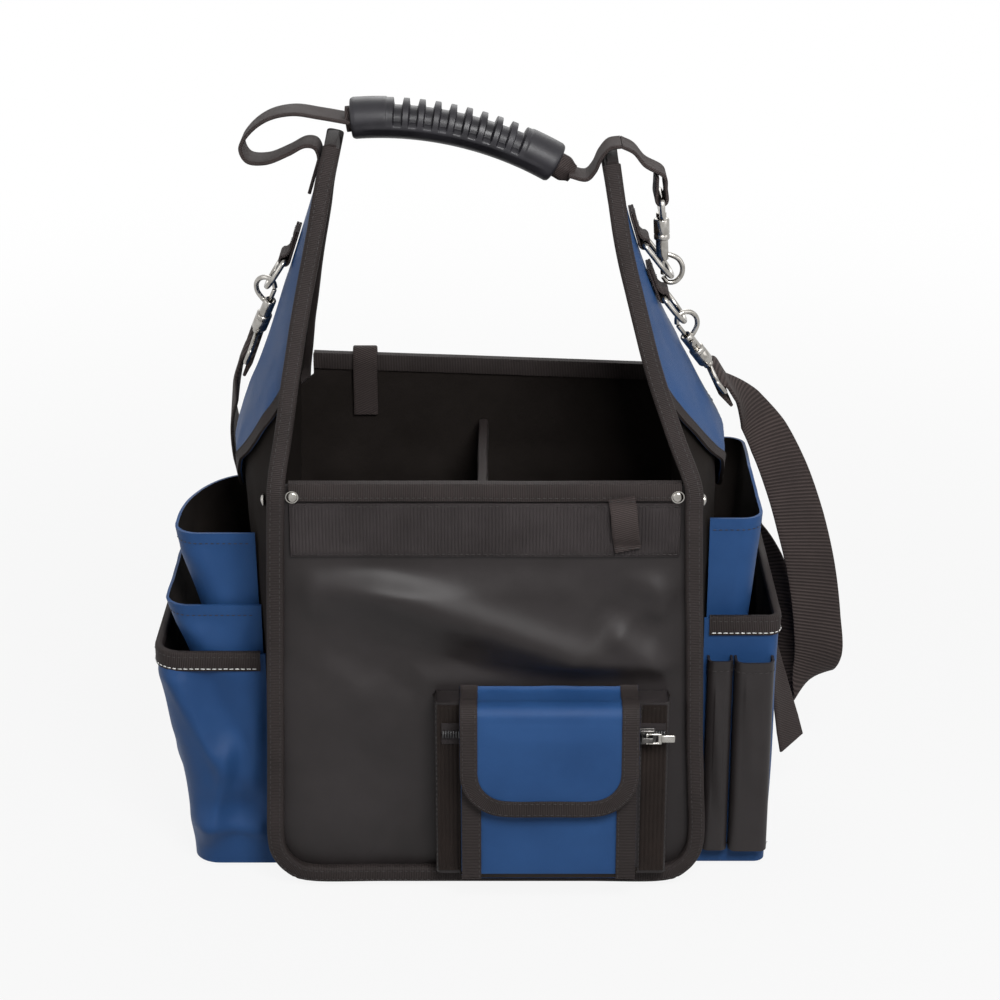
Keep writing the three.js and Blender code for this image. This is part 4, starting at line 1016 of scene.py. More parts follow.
def outAt(levels, z):
    heights, reach = zip(*levels)
    low, high = heights[0], heights[-1]
    spread = (high - low) / 14
    soft = [np.interp(np.clip(z + d, low, high), heights, reach) for d in np.linspace(-spread, spread, 7)]
    return np.mean(soft, axis=0)


def pocketGrid(spec, back, rows=64, closeTop=False):
    low, high = spec["levels"][0][0], spec["levels"][-1][0]
    tuck = pocketCloth["tuck"]
    heights = np.linspace(low, high, rows)
    plans = [planRow(spec["span"], back(z), float(outAt(spec["levels"], z)), spec["radius"],
                     spec.get("sweepOut", 0)) for z in heights]
    columns = len(plans[0])
    a = np.array([p[:, 0] for p in plans])
    n = np.array([p[:, 1] for p in plans])
    z = np.repeat(heights[:, None], columns, axis=1)

    def closing(row, height, order):
        ends = back(height)
        inside = np.linspace(ends[0], ends[1], columns)
        rise = order * tuck
        across = np.linspace(*spec["span"], columns)
        middle = np.mean(spec["span"])
        for s in (0.0, 0.3, 0.6, 0.85, 0.96)[::order]:
            yield (row[0] * s + across * (1 - s) * 0.97 + (1 - s) * 0.03 * middle,
                   row[1] * s + inside * (1 - s), np.full(columns, height + rise * s**8 - rise))

    foot = list(closing((a[0], n[0]), low + tuck, 1))
    z[0] += 0.4
    full = [np.vstack([[f[i] for f in foot], grid]) for i, grid in enumerate((a, n, z))]
    if closeTop:
        head = list(closing((a[-1], n[-1]), high - tuck, -1))
        full = [np.vstack([grid, [f[i] for f in head]]) for i, grid in enumerate(full)]
    rowsA, rowsN, rowsZ = full
    grid = spec["place"](rowsA, rowsN, rowsZ)
    last = columns - 1 - np.arange(columns)
    free = ease(26, 44, np.minimum(np.arange(columns), last))[None, :] * ease(low + 4, low + 30, rowsZ)
    leg = (ease(0, 8, last) * (1 - ease(34, 52, last)))[None, :] * ease(low + 2, low + 24, rowsZ)
    free = free * (ease(8, 24, high - rowsZ) if spec["bound"] else 0.45 + 0.55 * ease(0, 20, high - rowsZ))
    seed = spec["seed"]
    rise = spec["slack"] * (0.7 * softNoise(grid, 34, seed) + 0.25 * softNoise(grid, 13, seed + 9))
    rise = free * (rise + sum(foldHeight(rowsA, rowsZ, crease) for crease in spec["creases"]))
    for crease in spec.get("legCreases", []):
        rise = rise + leg * ease(4, 18, high - rowsZ) * foldHeight(rowsN, rowsZ, crease)
    return grid + gridNormals(grid) * rise[..., None]


def wallBack(spec):
    def back(z):
        ends = np.array(spec["span"], float)
        return wallX(spec["side"], ends, np.maximum(z, pocketCloth["wallFoot"])) + pocketCloth["off"]
    return back


def flatBack(face):
    return lambda z: (face, face)


for name, spec in pocketSets.items():
    grid = pocketGrid(spec, wallBack(spec))
    part = shellPart(grid, pocketCloth["thick"], inner=1)
    settle(makeObject(f"{name}_pocket_cloth", [part], ["blueCloth", "insideBlack"]),
           nodes=[f"{name}_pocket"])
    top, out = spec["levels"][-1]
    plan = planRow(spec["span"], wallBack(spec)(top) + 3, out, spec["radius"], spec.get("sweepOut", 0))
    path = spec["place"](plan[:, 0], plan[:, 1], np.full(len(plan), float(top)))
    if spec["bound"]:
        section = [(-x, y) for x, y in foldSection(1.3, -3.1, 10, 4, 1.6, 1.1)]
        part = loftPart(sweepRings(path, section, (0, 0, 1)))
        settle(makeObject(f"{name}_pocket_tape", [part], ["bindingTape"]), nodes=[f"{name}_binding"])
        whiteLines.append(sweepRings(path, [(-1.45, -8.6)], (0, 0, 1))[2:-2, 0])
        darkLines.append(sweepRings(path, [(-1.4, -1.4)], (0, 0, 1))[2:-2, 0])
    else:
        darkLines.append(grid[-5, 4:-4] + gridNormals(grid)[-5, 4:-4] * 0.15)

# two narrow sleeves on the front face of the right lower pocket
sleeveCloth = {"thick": 1.4, "back": 78.4}
sleeveSets = {
    "right_inner": {"place": onFront, "span": (128.5, 143.2), "radius": 4.0, "bound": False, "slack": 1.2,
                    "levels": [(14, 86.5), (139, 88)], "seed": 31, "creases": [((133, 120), (139, 40), 0.9, 2.6)]},
    "right_outer": {"place": onFront, "span": (144.2, 167.0), "radius": 5.0, "bound": False, "slack": 1.4,
                    "levels": [(14, 87.5), (139, 90)], "seed": 32, "creases": [((151, 128), (157, 60), 1.2, 3.4)]},
}
for name, spec in sleeveSets.items():
    grid = pocketGrid(spec, flatBack(sleeveCloth["back"]))
    part = shellPart(grid, sleeveCloth["thick"], inner=1)
    settle(makeObject(f"{name}_sleeve_cloth", [part], ["coatedBlack", "insideBlack"]),
           nodes=[f"{name}_sleeve"])
    darkLines.append(grid[-4, 4:-4] + gridNormals(grid)[-4, 4:-4] * 0.15)

# zipped pouch on the front, with ribbed strips down both sides
pouchSet = {"place": onFront, "span": (-29.0, 105.0), "radius": 4.0, "bound": False, "slack": 0.5,
            "levels": [(15, 114.4), (126, 114.4)], "seed": 33, "creases": [], "back": 98.4,
            "strips": ((-27.6, -14.8), (89.5, 103.6)), "stripSpan": (17.5, 124.5), "stripFace": 115.15}
grid = pocketGrid(pouchSet, flatBack(pouchSet["back"]), closeTop=True)
part = shellPart(grid, pocketCloth["thick"], inner=1)
settle(makeObject("front_pouch_cloth", [part], ["coatedBlack", "insideBlack"]),
       nodes=["front_pouch"])


def stripPart(x0, x1, z0, z1, face, thick, rib=0.0, relief=0.0):
    columns = max(9, int((x1 - x0) / 0.4))
    z, x = np.meshgrid(np.linspace(z0, z1, 30), np.linspace(x0, x1, columns), indexing="ij")
    y = np.full_like(x, -face)
    if rib:
        y = y + relief * (1 - np.abs(np.sin(math.pi * (x - x0) / rib)))
    return shellPart(np.stack([x, y, z], -1), thick)


strips = [stripPart(*span, *pouchSet["stripSpan"], pouchSet["stripFace"], 0.7, 2.4, 0.35)
          for span in pouchSet["strips"]]
settle(makeObject("pouch_strips", strips, ["stripWebbing"]))
for x in (-28.2, -14.2, 88.9, 104.2):
    darkLines.append(np.array([[x, -114.75, z] for z in np.linspace(18, 124, 20)]))
topRow = np.linspace(-27, 103, 40)
darkLines.append(np.stack([topRow, np.full(40, -114.75), np.full(40, 122.6)], -1))

# zip across the pouch: woven tape, teeth, slider and pull
zipSet = {"tape": (-25.0, 103.0, 100.5, 113.5), "face": 115.8, "height": 107.0, "teeth": 116.5, "slider": 92.0}
x0, x1, z0, z1 = zipSet["tape"]
settle(makeObject("zip_tape_cloth", [stripPart(x0, x1, z0, z1, zipSet["face"], 0.7)], ["bandWebbing"]),
       nodes=["zip_tape"])
toothRow = [(x, -zipSet["teeth"], zipSet["height"]) for x in (x0 + 1, x1 - 1)]
teeth = alongLines("zip_teeth", [toothRow], toothTree, "zipBlack",
                   Spacing=1.5, Width=4.2, Height=1.5, Thick=0.95)
settle(teeth)


def blockPart(x0, x1, y0, y1, z0, z1, soft=0.4):
    middle = ((x0 + x1) / 2, (y0 + y1) / 2)
    half = np.array([x1 - x0, y1 - y0]) / 2
    rings = []
    for z, cut in softLevels(z0, z1, soft):
        ring = roundedRing(half - cut, max(0.15, soft * 1.5 - cut), z, 4)
        ring[:, 0] += middle[0]
        ring[:, 1] += middle[1]
        rings.append(ring)
    return loftPart(rings)


body = [blockPart(-5, 5, -5, -2.2, -4.5, 4.5, 0.9), blockPart(-5, 5, -2.4, -0.5, -4.5, -2.7),
        blockPart(-5, 5, -2.4, -0.5, 2.7, 4.5), blockPart(-3.6, -2.5, -8.8, -4.5, -1.5, 1.5),
        blockPart(2.5, 3.6, -8.8, -4.5, -1.5, 1.5), blockPart(-3.6, 3.6, -8.8, -7.7, -1.5, 1.5)]
move = (zipSet["slider"], -zipSet["face"], zipSet["height"])
settle(makeObject("zip_slider_metal", [placePart(p, np.eye(3), move) for p in body], ["zipMetal"]),
       "zip_slider", ["zip_slider"])
pull = [blockPart(-1, 1, -7, -5.6, -3.4, 3.4), blockPart(0.6, 7.4, -7, -5.6, 2.2, 3.4),
        blockPart(0.6, 7.4, -7, -5.6, -3.4, -2.2), blockPart(6.2, 8.4, -7, -5.6, -3.4, 3.4),
        blockPart(8.0, 16, -7, -5.6, -2.3, 2.3, 0.6)]
settle(makeObject("zip_pull_metal", [placePart(p, np.eye(3), move) for p in pull], ["nickel"]),
       "zip_pull", ["zip_pull"])

# blue pocket under the flap, bound down both sides
flapPocketSet = {"place": onFront, "span": (-14.0, 87.0), "radius": 5.0, "bound": False, "slack": 0.8,
                 "levels": [(17, 123.8), (90, 123.8)], "seed": 34, "creases": [], "back": 114.8,
                 "tapes": ((-13.6, -2.4), (75.4, 86.6)), "tapeSpan": (17.6, 89), "patch": (18, 55, 68, 86)}
grid = pocketGrid(flapPocketSet, flatBack(flapPocketSet["back"]))
part = shellPart(grid, pocketCloth["thick"], inner=1)
settle(makeObject("flap_pocket_cloth", [part], ["blueCloth", "insideBlack"]),
       nodes=["flap_pocket"])
sideTapes = [stripPart(*span, *flapPocketSet["tapeSpan"], 125.0, 1.1) for span in flapPocketSet["tapes"]]
settle(makeObject("flap_pocket_tapes", sideTapes, ["bindingTape"]))
for x in (-3.6, 76.6):
    darkLines.append(np.array([[x, -125.1, z] for z in np.linspace(19, 88, 16)]))
for name, face, ridesOn in (("loop_patch", 125.3, "bag"), ("hook_patch", 126.8, "flap")):
    part = stripPart(*flapPocketSet["patch"], face, 1.1)
    settle(makeObject(f"{name}_nap", [part], ["looseNap"]), ridesOn, [name])

# the flap: rolls forward from the pouch's top edge and hangs in front of the pocket
flapSet = {"middle": 36.5, "half": 51.0, "foot": 61.0, "corner": 27.0, "face": 129.2, "thick": 2.0, "belly": 1.4,
           "root": [(115.4, 128.4), (120.4, 129.0), (125.2, 127.8), (128.2, 124.4), (129.2, 118.0)],
           "tape": 10.0, "tapeThick": 1.2, "seatThick": 1.3,
           "seat": [(99.6, 129.4), (101.4, 127.9), (105.0, 127.1), (110.0, 126.9), (113.9, 126.8)]}


def flapReach(z):
    drop = np.maximum(0, flapSet["foot"] + flapSet["corner"] - z)
    inner = flapSet["half"] - flapSet["corner"]
    return inner + np.sqrt(np.maximum(0, flapSet["corner"] ** 2 - drop**2))


turn = np.linspace(0, math.pi / 2, 14)
cornerZ = flapSet["foot"] + flapSet["corner"] * (1 - np.cos(turn))
lowerRows = np.concatenate([cornerZ, np.linspace(flapSet["foot"] + flapSet["corner"], 116, 30)[1:]])
roll, _ = smoothPath([(n, z, 0) for n, z in flapSet["root"][::-1]], 7)
outline = np.vstack([np.stack([np.full(len(lowerRows), flapSet["face"]), lowerRows], -1), roll[:, :2]])


def flapBelly(u, z):
    low = flapSet["foot"]
    swell = flapSet["belly"] * (1 - u**2) * ease(low, low + 23, z) * ease(0, 14, 122 - z)
    uneven = softNoise(np.stack([u * flapSet["half"], u * 0, z], -1), 22, 35)
    return swell + 0.5 * uneven * ease(0, 20, 118 - z) * (1 - u**4)


u = np.linspace(-1, 1, 61)
z = np.repeat(outline[:, 1:2], 61, axis=1)
grid = np.stack([flapSet["middle"] + u[None, :] * flapReach(outline[:, 1])[:, None],
                 -(outline[:, :1] + flapBelly(u[None, :] + 0 * z, z)), z], -1)
flapCloth = makeObject("flap_cloth", [shellPart(grid, flapSet["thick"], inner=1)], ["blueCloth", "insideBlack"])
settle(flapCloth, "flap", ["flap"])
seat, _ = smoothPath([(n, z, 0) for n, z in flapSet["seat"]], 4)  # sewn strip from which the flap turns down
x = flapSet["middle"] + np.linspace(-flapSet["half"], flapSet["half"], 61)
grid = np.stack([np.repeat(x[None, :], len(seat), 0), -np.repeat(seat[:, :1], 61, 1),
                 np.repeat(seat[:, 1:2], 61, 1)], -1)
grid[..., 2] += 0.35 * softNoise(grid, 16, 37)
seatCloth = makeObject("flap_seat_cloth", [shellPart(grid[::-1], flapSet["seatThick"])], ["blueCloth"])
settle(seatCloth)
inset = flapSet["tape"] / 2 + 0.1
seatTapes = []
for turn in (-1, 1):
    x = flapSet["middle"] + turn * (flapSet["half"] - inset)
    route = [((x, -n, z + 0.5), (1, 0, 0)) for n, z, _ in seat]
    seatTapes.append(ribbonPart(route, flapSet["tape"], flapSet["tapeThick"], 3))
seatTape = makeObject("flap_seat_tapes", seatTapes, ["bindingTape"])
settle(seatTape)
for piece in (seatCloth, seatTape):  # the strip and its tapes each get a mesh of their own
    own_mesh(piece)
rollOut = np.vstack([roll[::-1, :2][::3], [[flapSet["face"], 106.0], [flapSet["face"], 93.0]]])
rollUp = np.stack([np.gradient(rollOut[:, 1]), -np.gradient(rollOut[:, 0])], -1)
rollUp = unit(np.where(rollUp[:, :1] + 2 * rollUp[:, 1:] > 0, rollUp, -rollUp)) * 0.75
run = [(flapSet["half"] - inset, n + up[0], z + up[1], (1, 0, 0)) for (n, z), up in zip(rollOut, rollUp)]
bend = flapSet["corner"] - inset
for a in np.radians([0, 18, 36, 54, 72, 90]):
    x = flapSet["half"] - flapSet["corner"] + bend * math.cos(a)
    run.append((x, flapSet["face"] + 0.95, flapSet["foot"] + flapSet["corner"] - bend * math.sin(a),
                (math.cos(a), 0, -math.sin(a))))
route = [((flapSet["middle"] - x, -n, z), (-w[0], w[1], w[2])) for x, n, z, w in run]
route += [((flapSet["middle"], -flapSet["face"] - 1.1, flapSet["foot"] + inset), (0, 0, -1))]
route += [((flapSet["middle"] + x, -n, z), w) for x, n, z, w in run[::-1]]
part = ribbonPart(route, flapSet["tape"], flapSet["tapeThick"], 5)
settle(makeObject("flap_tape", [part], ["bindingTape"]), "flap", ["flap_binding"])
for share in (-0.36, 0.36):
    line = [np.array(p) + np.array(w) * flapSet["tape"] * share + np.array([0, -0.75, 0]) for p, w in route]
    flapLines.append(smoothPath(line[4:-4], 6)[0])
print("pockets, pouch, zip and flap made")


# clips: a webbing tab holds a ring, a swivel snap hook hangs in the ring and its eye carries webbing
clipSet = {"half": 13.0, "wire": 1.6, "eyeBar": 37.6, "eyeLow": 27.6, "seat": (5.0, 0.0, -10.2), "tabOut": 3.6,
           "tabWidth": 21.6, "tabThick": 1.5, "tabTurn": 2.8}
clips = {
    "left": {"side": leftSide, "bar": 356.0, "drop": 21.0, "hang": 33.0, "roll": 17.0,
             "toEye": (-0.34, 0.44, -0.83), "width": 32.0},
    "right": {"side": rightSide, "bar": 334.0, "drop": 21.0, "hang": 38.0, "roll": -13.0,
              "toEye": (0.54, 0.34, -0.77), "width": 32.0},
    "handle": {"side": rightSide, "bar": 366.0, "drop": 27.0, "hang": 38.0, "roll": 0.0,
               "toEye": (-0.05, 0, 1), "width": 25.0},
}


def turnY(angle):
    c, s = math.cos(angle), math.sin(angle)
    return np.array([[c, 0, s], [0, 1, 0], [-s, 0, c]])


def placeClip(spec):
    side, z = spec["side"], spec["bar"]
    sign = side["sign"]
    slope = math.atan2(float(wallX(side, 0, z - 2) - wallX(side, 0, z + 18)), 20)
    off = (bag["cover"] + bag["gap"] + clipSet["tabOut"]) / math.cos(slope)
    bar = np.array([sign * (float(wallX(side, 0, z)) + off), 0, z])
    flip = np.diag([-1.0, -1.0, 1.0]) if sign < 0 else np.eye(3)
    ring = turnY(-sign * math.radians(spec["hang"]))
    seat = bar + ring @ np.array([0, 0, -spec["drop"]])
    axis = unit(spec["toEye"])
    across = np.array([0, sign * (1.0 if axis[2] > 0 else -1.0), 0])
    across = unit(across - axis * across.dot(axis))
    hook = np.stack([np.cross(across, axis), across, axis], 1)
    origin = seat - hook @ np.array(clipSet["seat"])
    c, s = math.cos(math.radians(spec["roll"])), math.sin(math.radians(spec["roll"]))
    swivel = hook @ np.array([[c, -s, 0], [s, c, 0], [0, 0, 1.0]])
    return {"bar": bar, "tab": turnY(-sign * slope) @ flip, "ring": ring, "hook": hook, "swivel": swivel,
            "origin": origin}


def ringPath(drop):
    half, rise = clipSet["half"], drop - clipSet["half"]
    turn = np.radians(np.linspace(0, 180, 25))
    bow = np.stack([0 * turn, half * np.cos(turn), -rise - half * np.sin(turn)], -1)
    bar = [(0, -half, -3.2), (0, -half + 0.7, -0.9), (0, -half + 3, 0), (0, 0, 0), (0, half - 3, 0),
           (0, half - 0.7, -0.9), (0, half, -3.2)]
    return smoothPath(np.vstack([bar, bow]), 3, closed=True)[0]


def eyePath(width):
    half = width / 2 + 1 + clipSet["wire"]
    low, high = clipSet["eyeLow"], clipSet["eyeBar"]
    loop = [(-half + 2.5, low), (0, low), (half - 2.5, low), (half - 0.7, low + 0.7), (half, low + 2.5),
            (half, high - 2.5), (half - 0.7, high - 0.7), (half - 2.5, high), (0, high), (-half + 2.5, high),
            (-half + 0.7, high - 0.7), (-half, high - 2.5), (-half, low + 2.5), (-half + 0.7, low + 0.7)]
    return smoothPath([(0, y, z) for y, z in loop], 5, closed=True)[0]


def shankPart():
    outline = [(1.75, 11.2), (1.75, -0.2), (2.2, -0.6), (3.2, -0.6), (3.6, -0.2), (3.6, 2.55), (3.6, 2.65),
               (3.6, 11.1), (3.6, 11.3), (4.1, 11.4), (4.6, 12.0), (4.6, 14.2), (4.35, 14.5), (4.35, 15.0),
               (4.6, 15.3), (4.6, 22.8), (4.3, 23.5), (3.7, 24), (2.35, 24), (2.35, 20.2), (3.4, 20.2),
               (3.4, 13.2)]
    turn = 2 * math.pi * (np.arange(48) + 0.5) / 48
    slot = np.abs(turn - math.pi / 2) < math.radians(19)
    rings = []
    for r, z in outline:
        size = np.where(slot & (r > 3.5) & (z > 2.6) & (z < 11.2), 1.9, r)
        rings.append(np.stack([size * np.cos(turn), size * np.sin(turn), np.full(48, z)], -1))
    return loftPart(rings)


hookBend = smoothPath([(2.6, 0, 2.6), (5, 0, 1.8), (9.2, 0, -0.8), (11.4, 0, -5.4), (10.6, 0, -10.6),
                       (7, 0, -14.2), (2.6, 0, -14.2), (0.1, 0, -10.9)], 7)[0]
toRear, knobAt = np.array([[1.0, 0, 0], [0, 0, 1], [0, -1, 0]]), (0, 0, 3.7)
boltParts = [turnedPart([(0.7, -9.7), (1.2, -9.4), (1.35, -8.9), (1.35, 4.2), (1.0, 4.6)], 24),
             placePart(turnedPart([(0.75, 0), (0.75, 5.4)], 16), toRear, knobAt),
             placePart(turnedPart([(1.2, 4.4), (1.6, 4.7), (1.7, 5.1), (1.7, 5.8), (1.2, 6.4)], 24), toRear,
                       knobAt)]
stem = turnedPart([(2.6, 13.8), (3.0, 14.2), (3.0, 16.6), (2.0, 17.4), (2.0, 24.2), (2.6, 24.4), (3.0, 24.8),
                   (3.0, 27.0), (2.2, 27.6)], 28)
placed = {}
for name, spec in clips.items():
    spot = placeClip(spec)
    placed[name] = spot
    bend = clipSet["tabTurn"]
    strip = [(-bend, 19), (-bend, 10), (-bend, 3)]
    strip += [(bend * math.cos(a), bend * math.sin(a)) for a in np.radians([180, 225, 270, 315, 360, 405, 440])]
    strip += [(-1.2, 5.8), (-1.25, 11), (-1.25, 19)]
    strip = [((x, 0, z), (0, 1, 0)) for x, z in strip]
    tab = placePart(ribbonPart(strip, clipSet["tabWidth"], clipSet["tabThick"], 6), spot["tab"], spot["bar"])
    settle(makeObject(f"{name}_tab_web", [tab], ["narrowWebbing"]), nodes=[f"{name}_tab"])
    for z in (9, 16.5):
        line = np.array([[-0.3, y, z] for y in np.linspace(-8.5, 8.5, 8)])
        darkLines.append(line @ spot["tab"].T + spot["bar"])
    ring = placePart(tubePart(ringPath(spec["drop"]), clipSet["wire"], 14, True), spot["ring"], spot["bar"])
    settle(makeObject(f"{name}_ring_metal", [ring], ["nickel"]), f"{name}_ring", [f"{name}_ring"])
    hook = [placePart(p, spot["swivel"], spot["origin"]) for p in (shankPart(), tubePart(hookBend, 1.5, 16))]
    settle(makeObject(f"{name}_hook_metal", hook, ["nickel"]), f"{name}_hook", [f"{name}_hook"])
    bolt = [placePart(p, spot["swivel"], spot["origin"]) for p in boltParts]
    settle(makeObject(f"{name}_bolt_metal", bolt, ["nickel"]), f"{name}_bolt", [f"{name}_bolt"])
    loop = tubePart(eyePath(spec["width"]), clipSet["wire"], 14, True)
    eye = [placePart(p, spot["hook"], spot["origin"]) for p in (loop, stem)]
    settle(makeObject(f"{name}_eye_metal", eye, ["nickel"]), f"{name}_ring", [f"{name}_eye"])
print("clips made")


# carrying grip: a ribbed moulding on a cloth core, arched between the two lengths of handle webbing
gripSet = {"start": (-75.5, 436.5), "end": (40.0, 410.5), "rise": 9.0, "slots": 9, "collars": (22.0, 21.0),
           "high": 11.5, "wide": 13.0, "sink": 4.0, "lead": 3.0, "stub": 11.0, "coreHigh": 7.3, "coreWide": 8.2}
gripA, gripB = np.array(gripSet["start"]), np.array(gripSet["end"])
gripChord = float(np.linalg.norm(gripB - gripA))
gripRadius = gripChord**2 / (8 * gripSet["rise"]) + gripSet["rise"] / 2
gripHalf = math.asin(gripChord / 2 / gripRadius)
gripLean = math.atan2(gripB[1] - gripA[1], gripB[0] - gripA[0])
gripDown = np.array([math.sin(gripLean), -math.cos(gripLean)])
gripMiddle = (gripA + gripB) / 2 + gripDown * (gripRadius - gripSet["rise"])
gripLength = 2 * gripHalf * gripRadius


def gripAt(s):
    turn = gripLean + math.pi / 2 + gripHalf - np.asarray(s) / gripLength * 2 * gripHalf
    x = gripMiddle[0] + gripRadius * np.cos(turn)
    return np.stack([x, 0 * turn, gripMiddle[1] + gripRadius * np.sin(turn)], -1)


def gripRings(s, height, across):
    ahead = unit(gripAt(s + 0.5) - gripAt(s - 0.5))
    raised = np.stack([-ahead[:, 2], 0 * s, ahead[:, 0]], -1)
    return gripAt(s)[:, None] + raised[:, None] * height[..., None] + np.array([0, 1.0, 0]) * across[..., None]


s = np.concatenate([[0, 0.3, 0.9, 1.8], np.linspace(3, gripLength - 3, 420),
                    gripLength - np.array([1.8, 0.9, 0.3, 0])])
plainLeft, plainRight = gripSet["collars"]
pitch = (gripLength - plainLeft - plainRight) / gripSet["slots"]
phase = ((s - plainLeft) / pitch) % 1.0
inRun = (s > plainLeft) & (s < gripLength - plainRight)
slot = np.where(inRun, ease(0.17, 0.27, phase) * (1 - ease(0.73, 0.83, phase)), 0)
ends = np.minimum(s, gripLength - s)
size = 0.9 + 0.1 * np.sqrt(np.clip(ends / 1.8, 0, 1))
collar = 0.5 * (1 - ease(19.0, 20.4, ends))
turn = 2 * math.pi * np.arange(72) / 72
upper = ease(-0.2, 0.02, np.sin(turn))
lip = 0.7 * np.exp(-((np.sin(turn) + 0.3) / 0.12) ** 2)  # moulding line under the slots
deep = gripSet["sink"] * slot[:, None] * upper[None, :] - collar[:, None] * upper[None, :]
deep = deep - lip[None, :] * ease(4, 12, ends)[:, None]
across = np.cos(turn)[None, :] * (gripSet["wide"] * size[:, None] - deep)
height = np.sin(turn)[None, :] * (gripSet["high"] * size[:, None] - deep)
part = loftPart(gripRings(s, height, across))
settle(makeObject("grip_moulding", [part], ["gripPlastic"]), "grip", ["grip"])
s = np.linspace(-gripSet["lead"], gripLength + gripSet["stub"], 120)
turn = 2 * math.pi * np.arange(40) / 40
bunch = 1 + 0.06 * np.sin(5 * turn)[None, :] * ease(gripLength - 4, gripLength + 9, s)[:, None]
shrink = np.where(s > gripLength, 1 - 0.3 * ease(gripLength + 5, gripLength + 11, s), 1.0)[:, None]
height = gripSet["coreHigh"] * np.sin(turn)[None, :] * bunch * shrink
across = gripSet["coreWide"] * np.cos(turn)[None, :] * bunch * shrink
part = loftPart(gripRings(s, height, across))
settle(makeObject("grip_core_cloth", [part], ["narrowWebbing"]), "grip", ["grip_core"])
print("grip made")


# handle webbing and shoulder strap, along the same routes as the solids
strapSet = {"handleWidth": 25.0, "width": 32.0, "tailWidth": 25.0, "thick": 2.0, "sewnOut": 1.5, "buckle": 112}
yWay, zWay = (0, 1, 0), (0, 0, 1)


def eyeTurn(name, lead):
    spot = placed[name]
    bar = clipSet["eyeBar"]
    local = [(-2.1, 0, bar + 13), (-2.6, 0, bar + 6)]
    local += [(3.0 * math.cos(a), 0, bar + 3.0 * math.sin(a)) for a in np.radians([180, 216, 252, 288, 324, 360])]
    local += [(2.6, 0, bar + 6), (2.0, 0, bar + lead)]
    return [spot["hook"] @ np.array(p) + spot["origin"] for p in local]


def inPlane(*spots):
    return [((x, 0, z), yWay) for x, z in spots]


def routeLength(route):
    path, _ = smoothPath([p for p, _ in route], 8)
    return float(np.sum(np.linalg.norm(np.diff(path, axis=0), axis=1))) * mm


def strapPiece(name, route, width, nodes):
    look = "webbing" if width == strapSet["width"] else "narrowWebbing"
    piece = makeObject(name, [ribbonPart(route, width, strapSet["thick"])], [look])
    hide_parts(*nodes)
    routeLength(route)
    return piece


def sewnTo(side, z):
    return side["sign"] * (float(wallX(side, 0, z)) + bag["cover"] + bag["gap"] + strapSet["sewnOut"])


coreLeft = gripAt(-gripSet["lead"] + 2.5)
coreRight = gripAt(gripLength + gripSet["stub"] - 2.5)
route = [(coreLeft, yWay)] + inPlane(
    (-93, 439.5), (-108, 441.5), (-122, 438.5), (-132.5, 431), (-138, 422), (-134.5, 414.5), (-124, 413.5),
    (-111, 418.5), (-101.5, 423.2), (-96, 422.2), *[(sewnTo(leftSide, z), z) for z in (416, 408, 396)])
piece = strapPiece("handle_strap_left_web", route, strapSet["handleWidth"], ["handle_strap_left"])
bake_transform(piece)
rise = [(coreRight, yWay)] + inPlane((57.5, 404), (62, 408.5), (65.5, 416), (70.5, 421.8), (77, 423))
fall = inPlane((77, 423), (84, 419.5), (90.5, 412)) + [(p, yWay) for p in eyeTurn("handle", 13)[::-1]]
piece = strapPiece("handle_strap_right_web", rise, strapSet["handleWidth"], ["handle_strap_right"])
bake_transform(piece)
piece = strapPiece("handle_strap_clip_web", fall, strapSet["handleWidth"], ["handle_strap_right"])
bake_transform(piece)

leftAcross = placed["left"]["hook"][:, 1]
buckleRun = [(-18, 112.2), (-12, 112.7), (-8.4, 110.2), (-11.5, 107.4), (-20, 107.2), (-36, 107.4)]
buckleLeft = [((x, y, strapSet["buckle"]), zWay) for x, y in buckleRun]
route = [(p, leftAcross) for p in eyeTurn("left", 14)] + [
    ((-150, 46, 266), (0, 0.85, 0.5)), ((-157, 70, 240), (0, 0.75, 0.66)), ((-158, 94, 208), (0, 0.6, 0.8)),
    ((-151, 108, 177), (-0.1, 0.3, 0.95)), ((-130, 114, 150), (0, 0.1, 1)), ((-95, 112, 130), zWay),
    ((-55, 110, 116), zWay), ((-32, 110.5, 112), zWay)] + buckleLeft
piece = strapPiece("shoulder_strap_left_web", route, strapSet["width"], ["shoulder_strap_left"])
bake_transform(piece)
loopWay = (0.94, 0.33, 0.05)
rightAcross = -placed["right"]["hook"][:, 1]
route = [(p, rightAcross) for p in eyeTurn("right", 14)] + [
    ((159, 28, 252), (0.5, 0.85, 0.25)), ((171, 30, 234), (0.75, 0.62, 0.2)), ((183, 30, 208), (0.88, 0.45, 0.1)),
    ((193, 29, 178), loopWay), ((201, 28, 146), loopWay), ((206, 27, 112), loopWay),
    ((207.5, 27, 88), (0.9, 0.2, 0.25)), ((203, 33, 70), (0.75, 0.2, 0.6)), ((196, 43, 66), (0.5, 0.3, 0.8)),
    ((190, 55, 78), (0.25, 0.35, 0.9)),
    ((186, 68, 98), (0.1, 0.35, 0.93)), ((179, 85, 122), (0, 0.3, 0.95)), ((162, 101, 142), (0, 0.15, 1)),
    ((134, 113.5, 148), zWay), ((95, 112, 130), zWay), ((55, 110, 116), zWay), ((32, 110.5, 112), zWay)]
route += [((-x, y, z), zWay) for (x, y, z), _ in buckleLeft]
piece = strapPiece("shoulder_strap_right_web", route, strapSet["width"], ["shoulder_strap_right"])
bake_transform(piece)
route = inPlane((171.7, 146), (172, 132)) + [
    ((175.5, 0, 110), (0.15, 0.98, 0)), ((181, 0, 82), (0.4, 0.9, 0)), ((187, 0, 55), (0.6, 0.8, 0)),
    ((190, 0, 42), (0.65, 0.76, 0))]
piece = strapPiece("strap_tail_web", route, strapSet["tailWidth"], ["strap_tail"])
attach(piece, "bag")

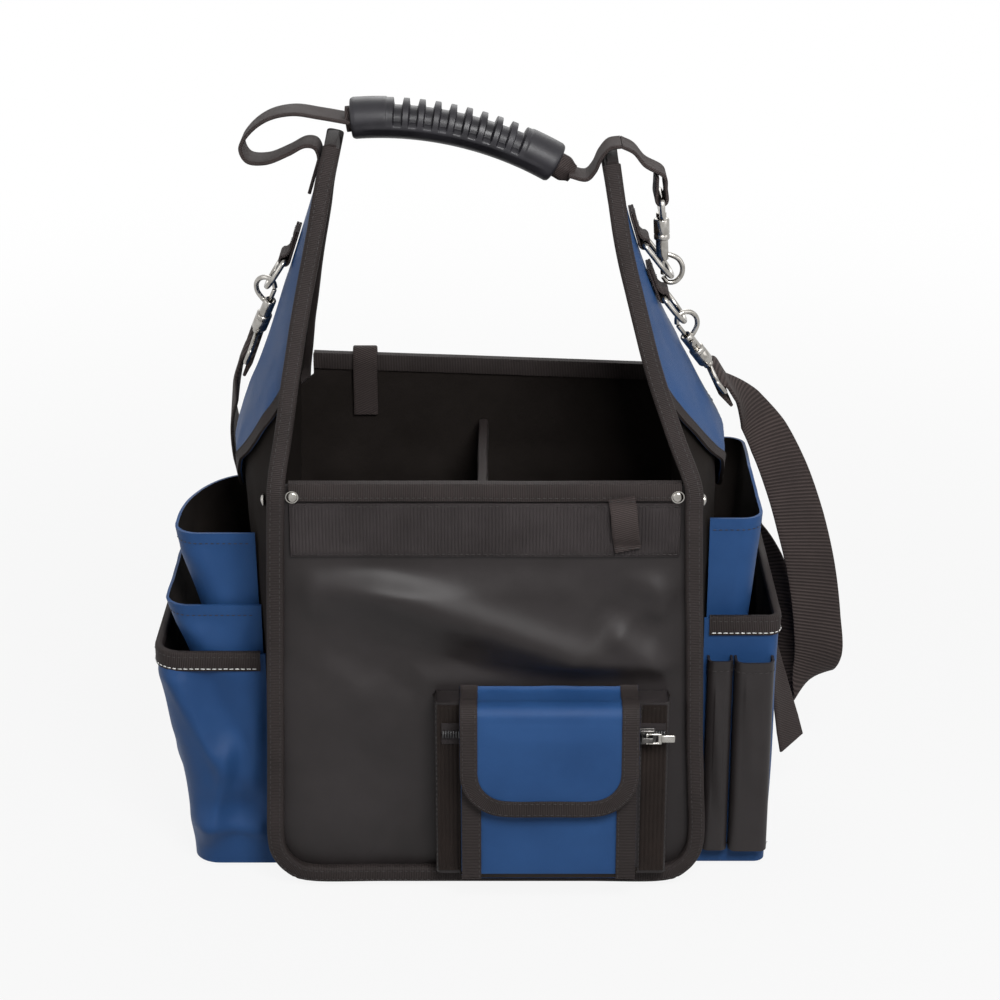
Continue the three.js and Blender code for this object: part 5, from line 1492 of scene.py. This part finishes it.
# slotted slide on the back run of the strap
slideSet = {"half": 14.0, "near": 108.5, "far": 111.5, "railsZ": (93.7, 130.3), "barsX": (-12.2, 0, 12.2)}
near, far, half = slideSet["near"], slideSet["far"], slideSet["half"]
rails = [blockPart(-half, half, near, far, z - 1.7, z + 1.7, 0.8) for z in slideSet["railsZ"]]
low, high = slideSet["railsZ"]
rails += [blockPart(x - 1.8, x + 1.8, near + 0.1, far - 0.1, low, high, 0.8) for x in slideSet["barsX"]]
settle(makeObject("strap_slide", rails, ["gripPlastic"]), nodes=["strap_adjuster"])
print("handle and shoulder straps made")


# rivets at the corners of the rim
rivetSet = {"sizes": {"Head": 3.2, "Dome": 1.5, "Flange": 0.5},
            "front": (107.4, 100.0, 246.0),  # on the end panels
            "side": (1.7, 84.0, 238.0)}  # off the side walls


def rivetRow(name, spots, axes):
    mesh = bpy.data.meshes.new(name)
    mesh.from_pydata((np.array(spots) * mm).tolist(), [], [])
    layer = mesh.attributes.new("axis", "FLOAT_VECTOR", "POINT")
    layer.data.foreach_set("vector", np.array(axes, np.float32).ravel())
    obj = grown(name, mesh, rivetTree, "nickel", rivetSet["sizes"])
    obj.data.set_sharp_from_angle(angle=math.radians(40))
    return obj


spots, axes = [], []
for side in (leftSide, rightSide):
    for facing, _ in endNames:
        x, y, z = rivetSet["front"]
        spots.append((side["sign"] * x, facing * y, z))
        axes.append((0, facing, 0))
        out, y, z = rivetSet["side"]
        y = facing * y
        spots.append((side["sign"] * (float(wallX(side, y, z)) + out), y, z))
        axes.append((side["sign"], 0, 0))
settle(rivetRow("corner_rivets", spots, axes))

# stitching
stitchSet = {"spacing": 3.3, "darkThread": (1.15, 0.27), "whiteThread": (1.38, 0.36)}  # length and thickness
for name, lines, thread, body in (("dark_stitches", darkLines, "darkThread", "bag"),
                                  ("white_stitches", whiteLines, "whiteThread", "bag"),
                                  ("flap_stitches", flapLines, "darkThread", "flap")):
    length, thick = stitchSet[thread]
    rows = alongLines(name, lines, stitchTree, thread,
                      Spacing=stitchSet["spacing"], Length=length, Thread=thick)
    settle(rows, body)
print("rivets and stitches made")
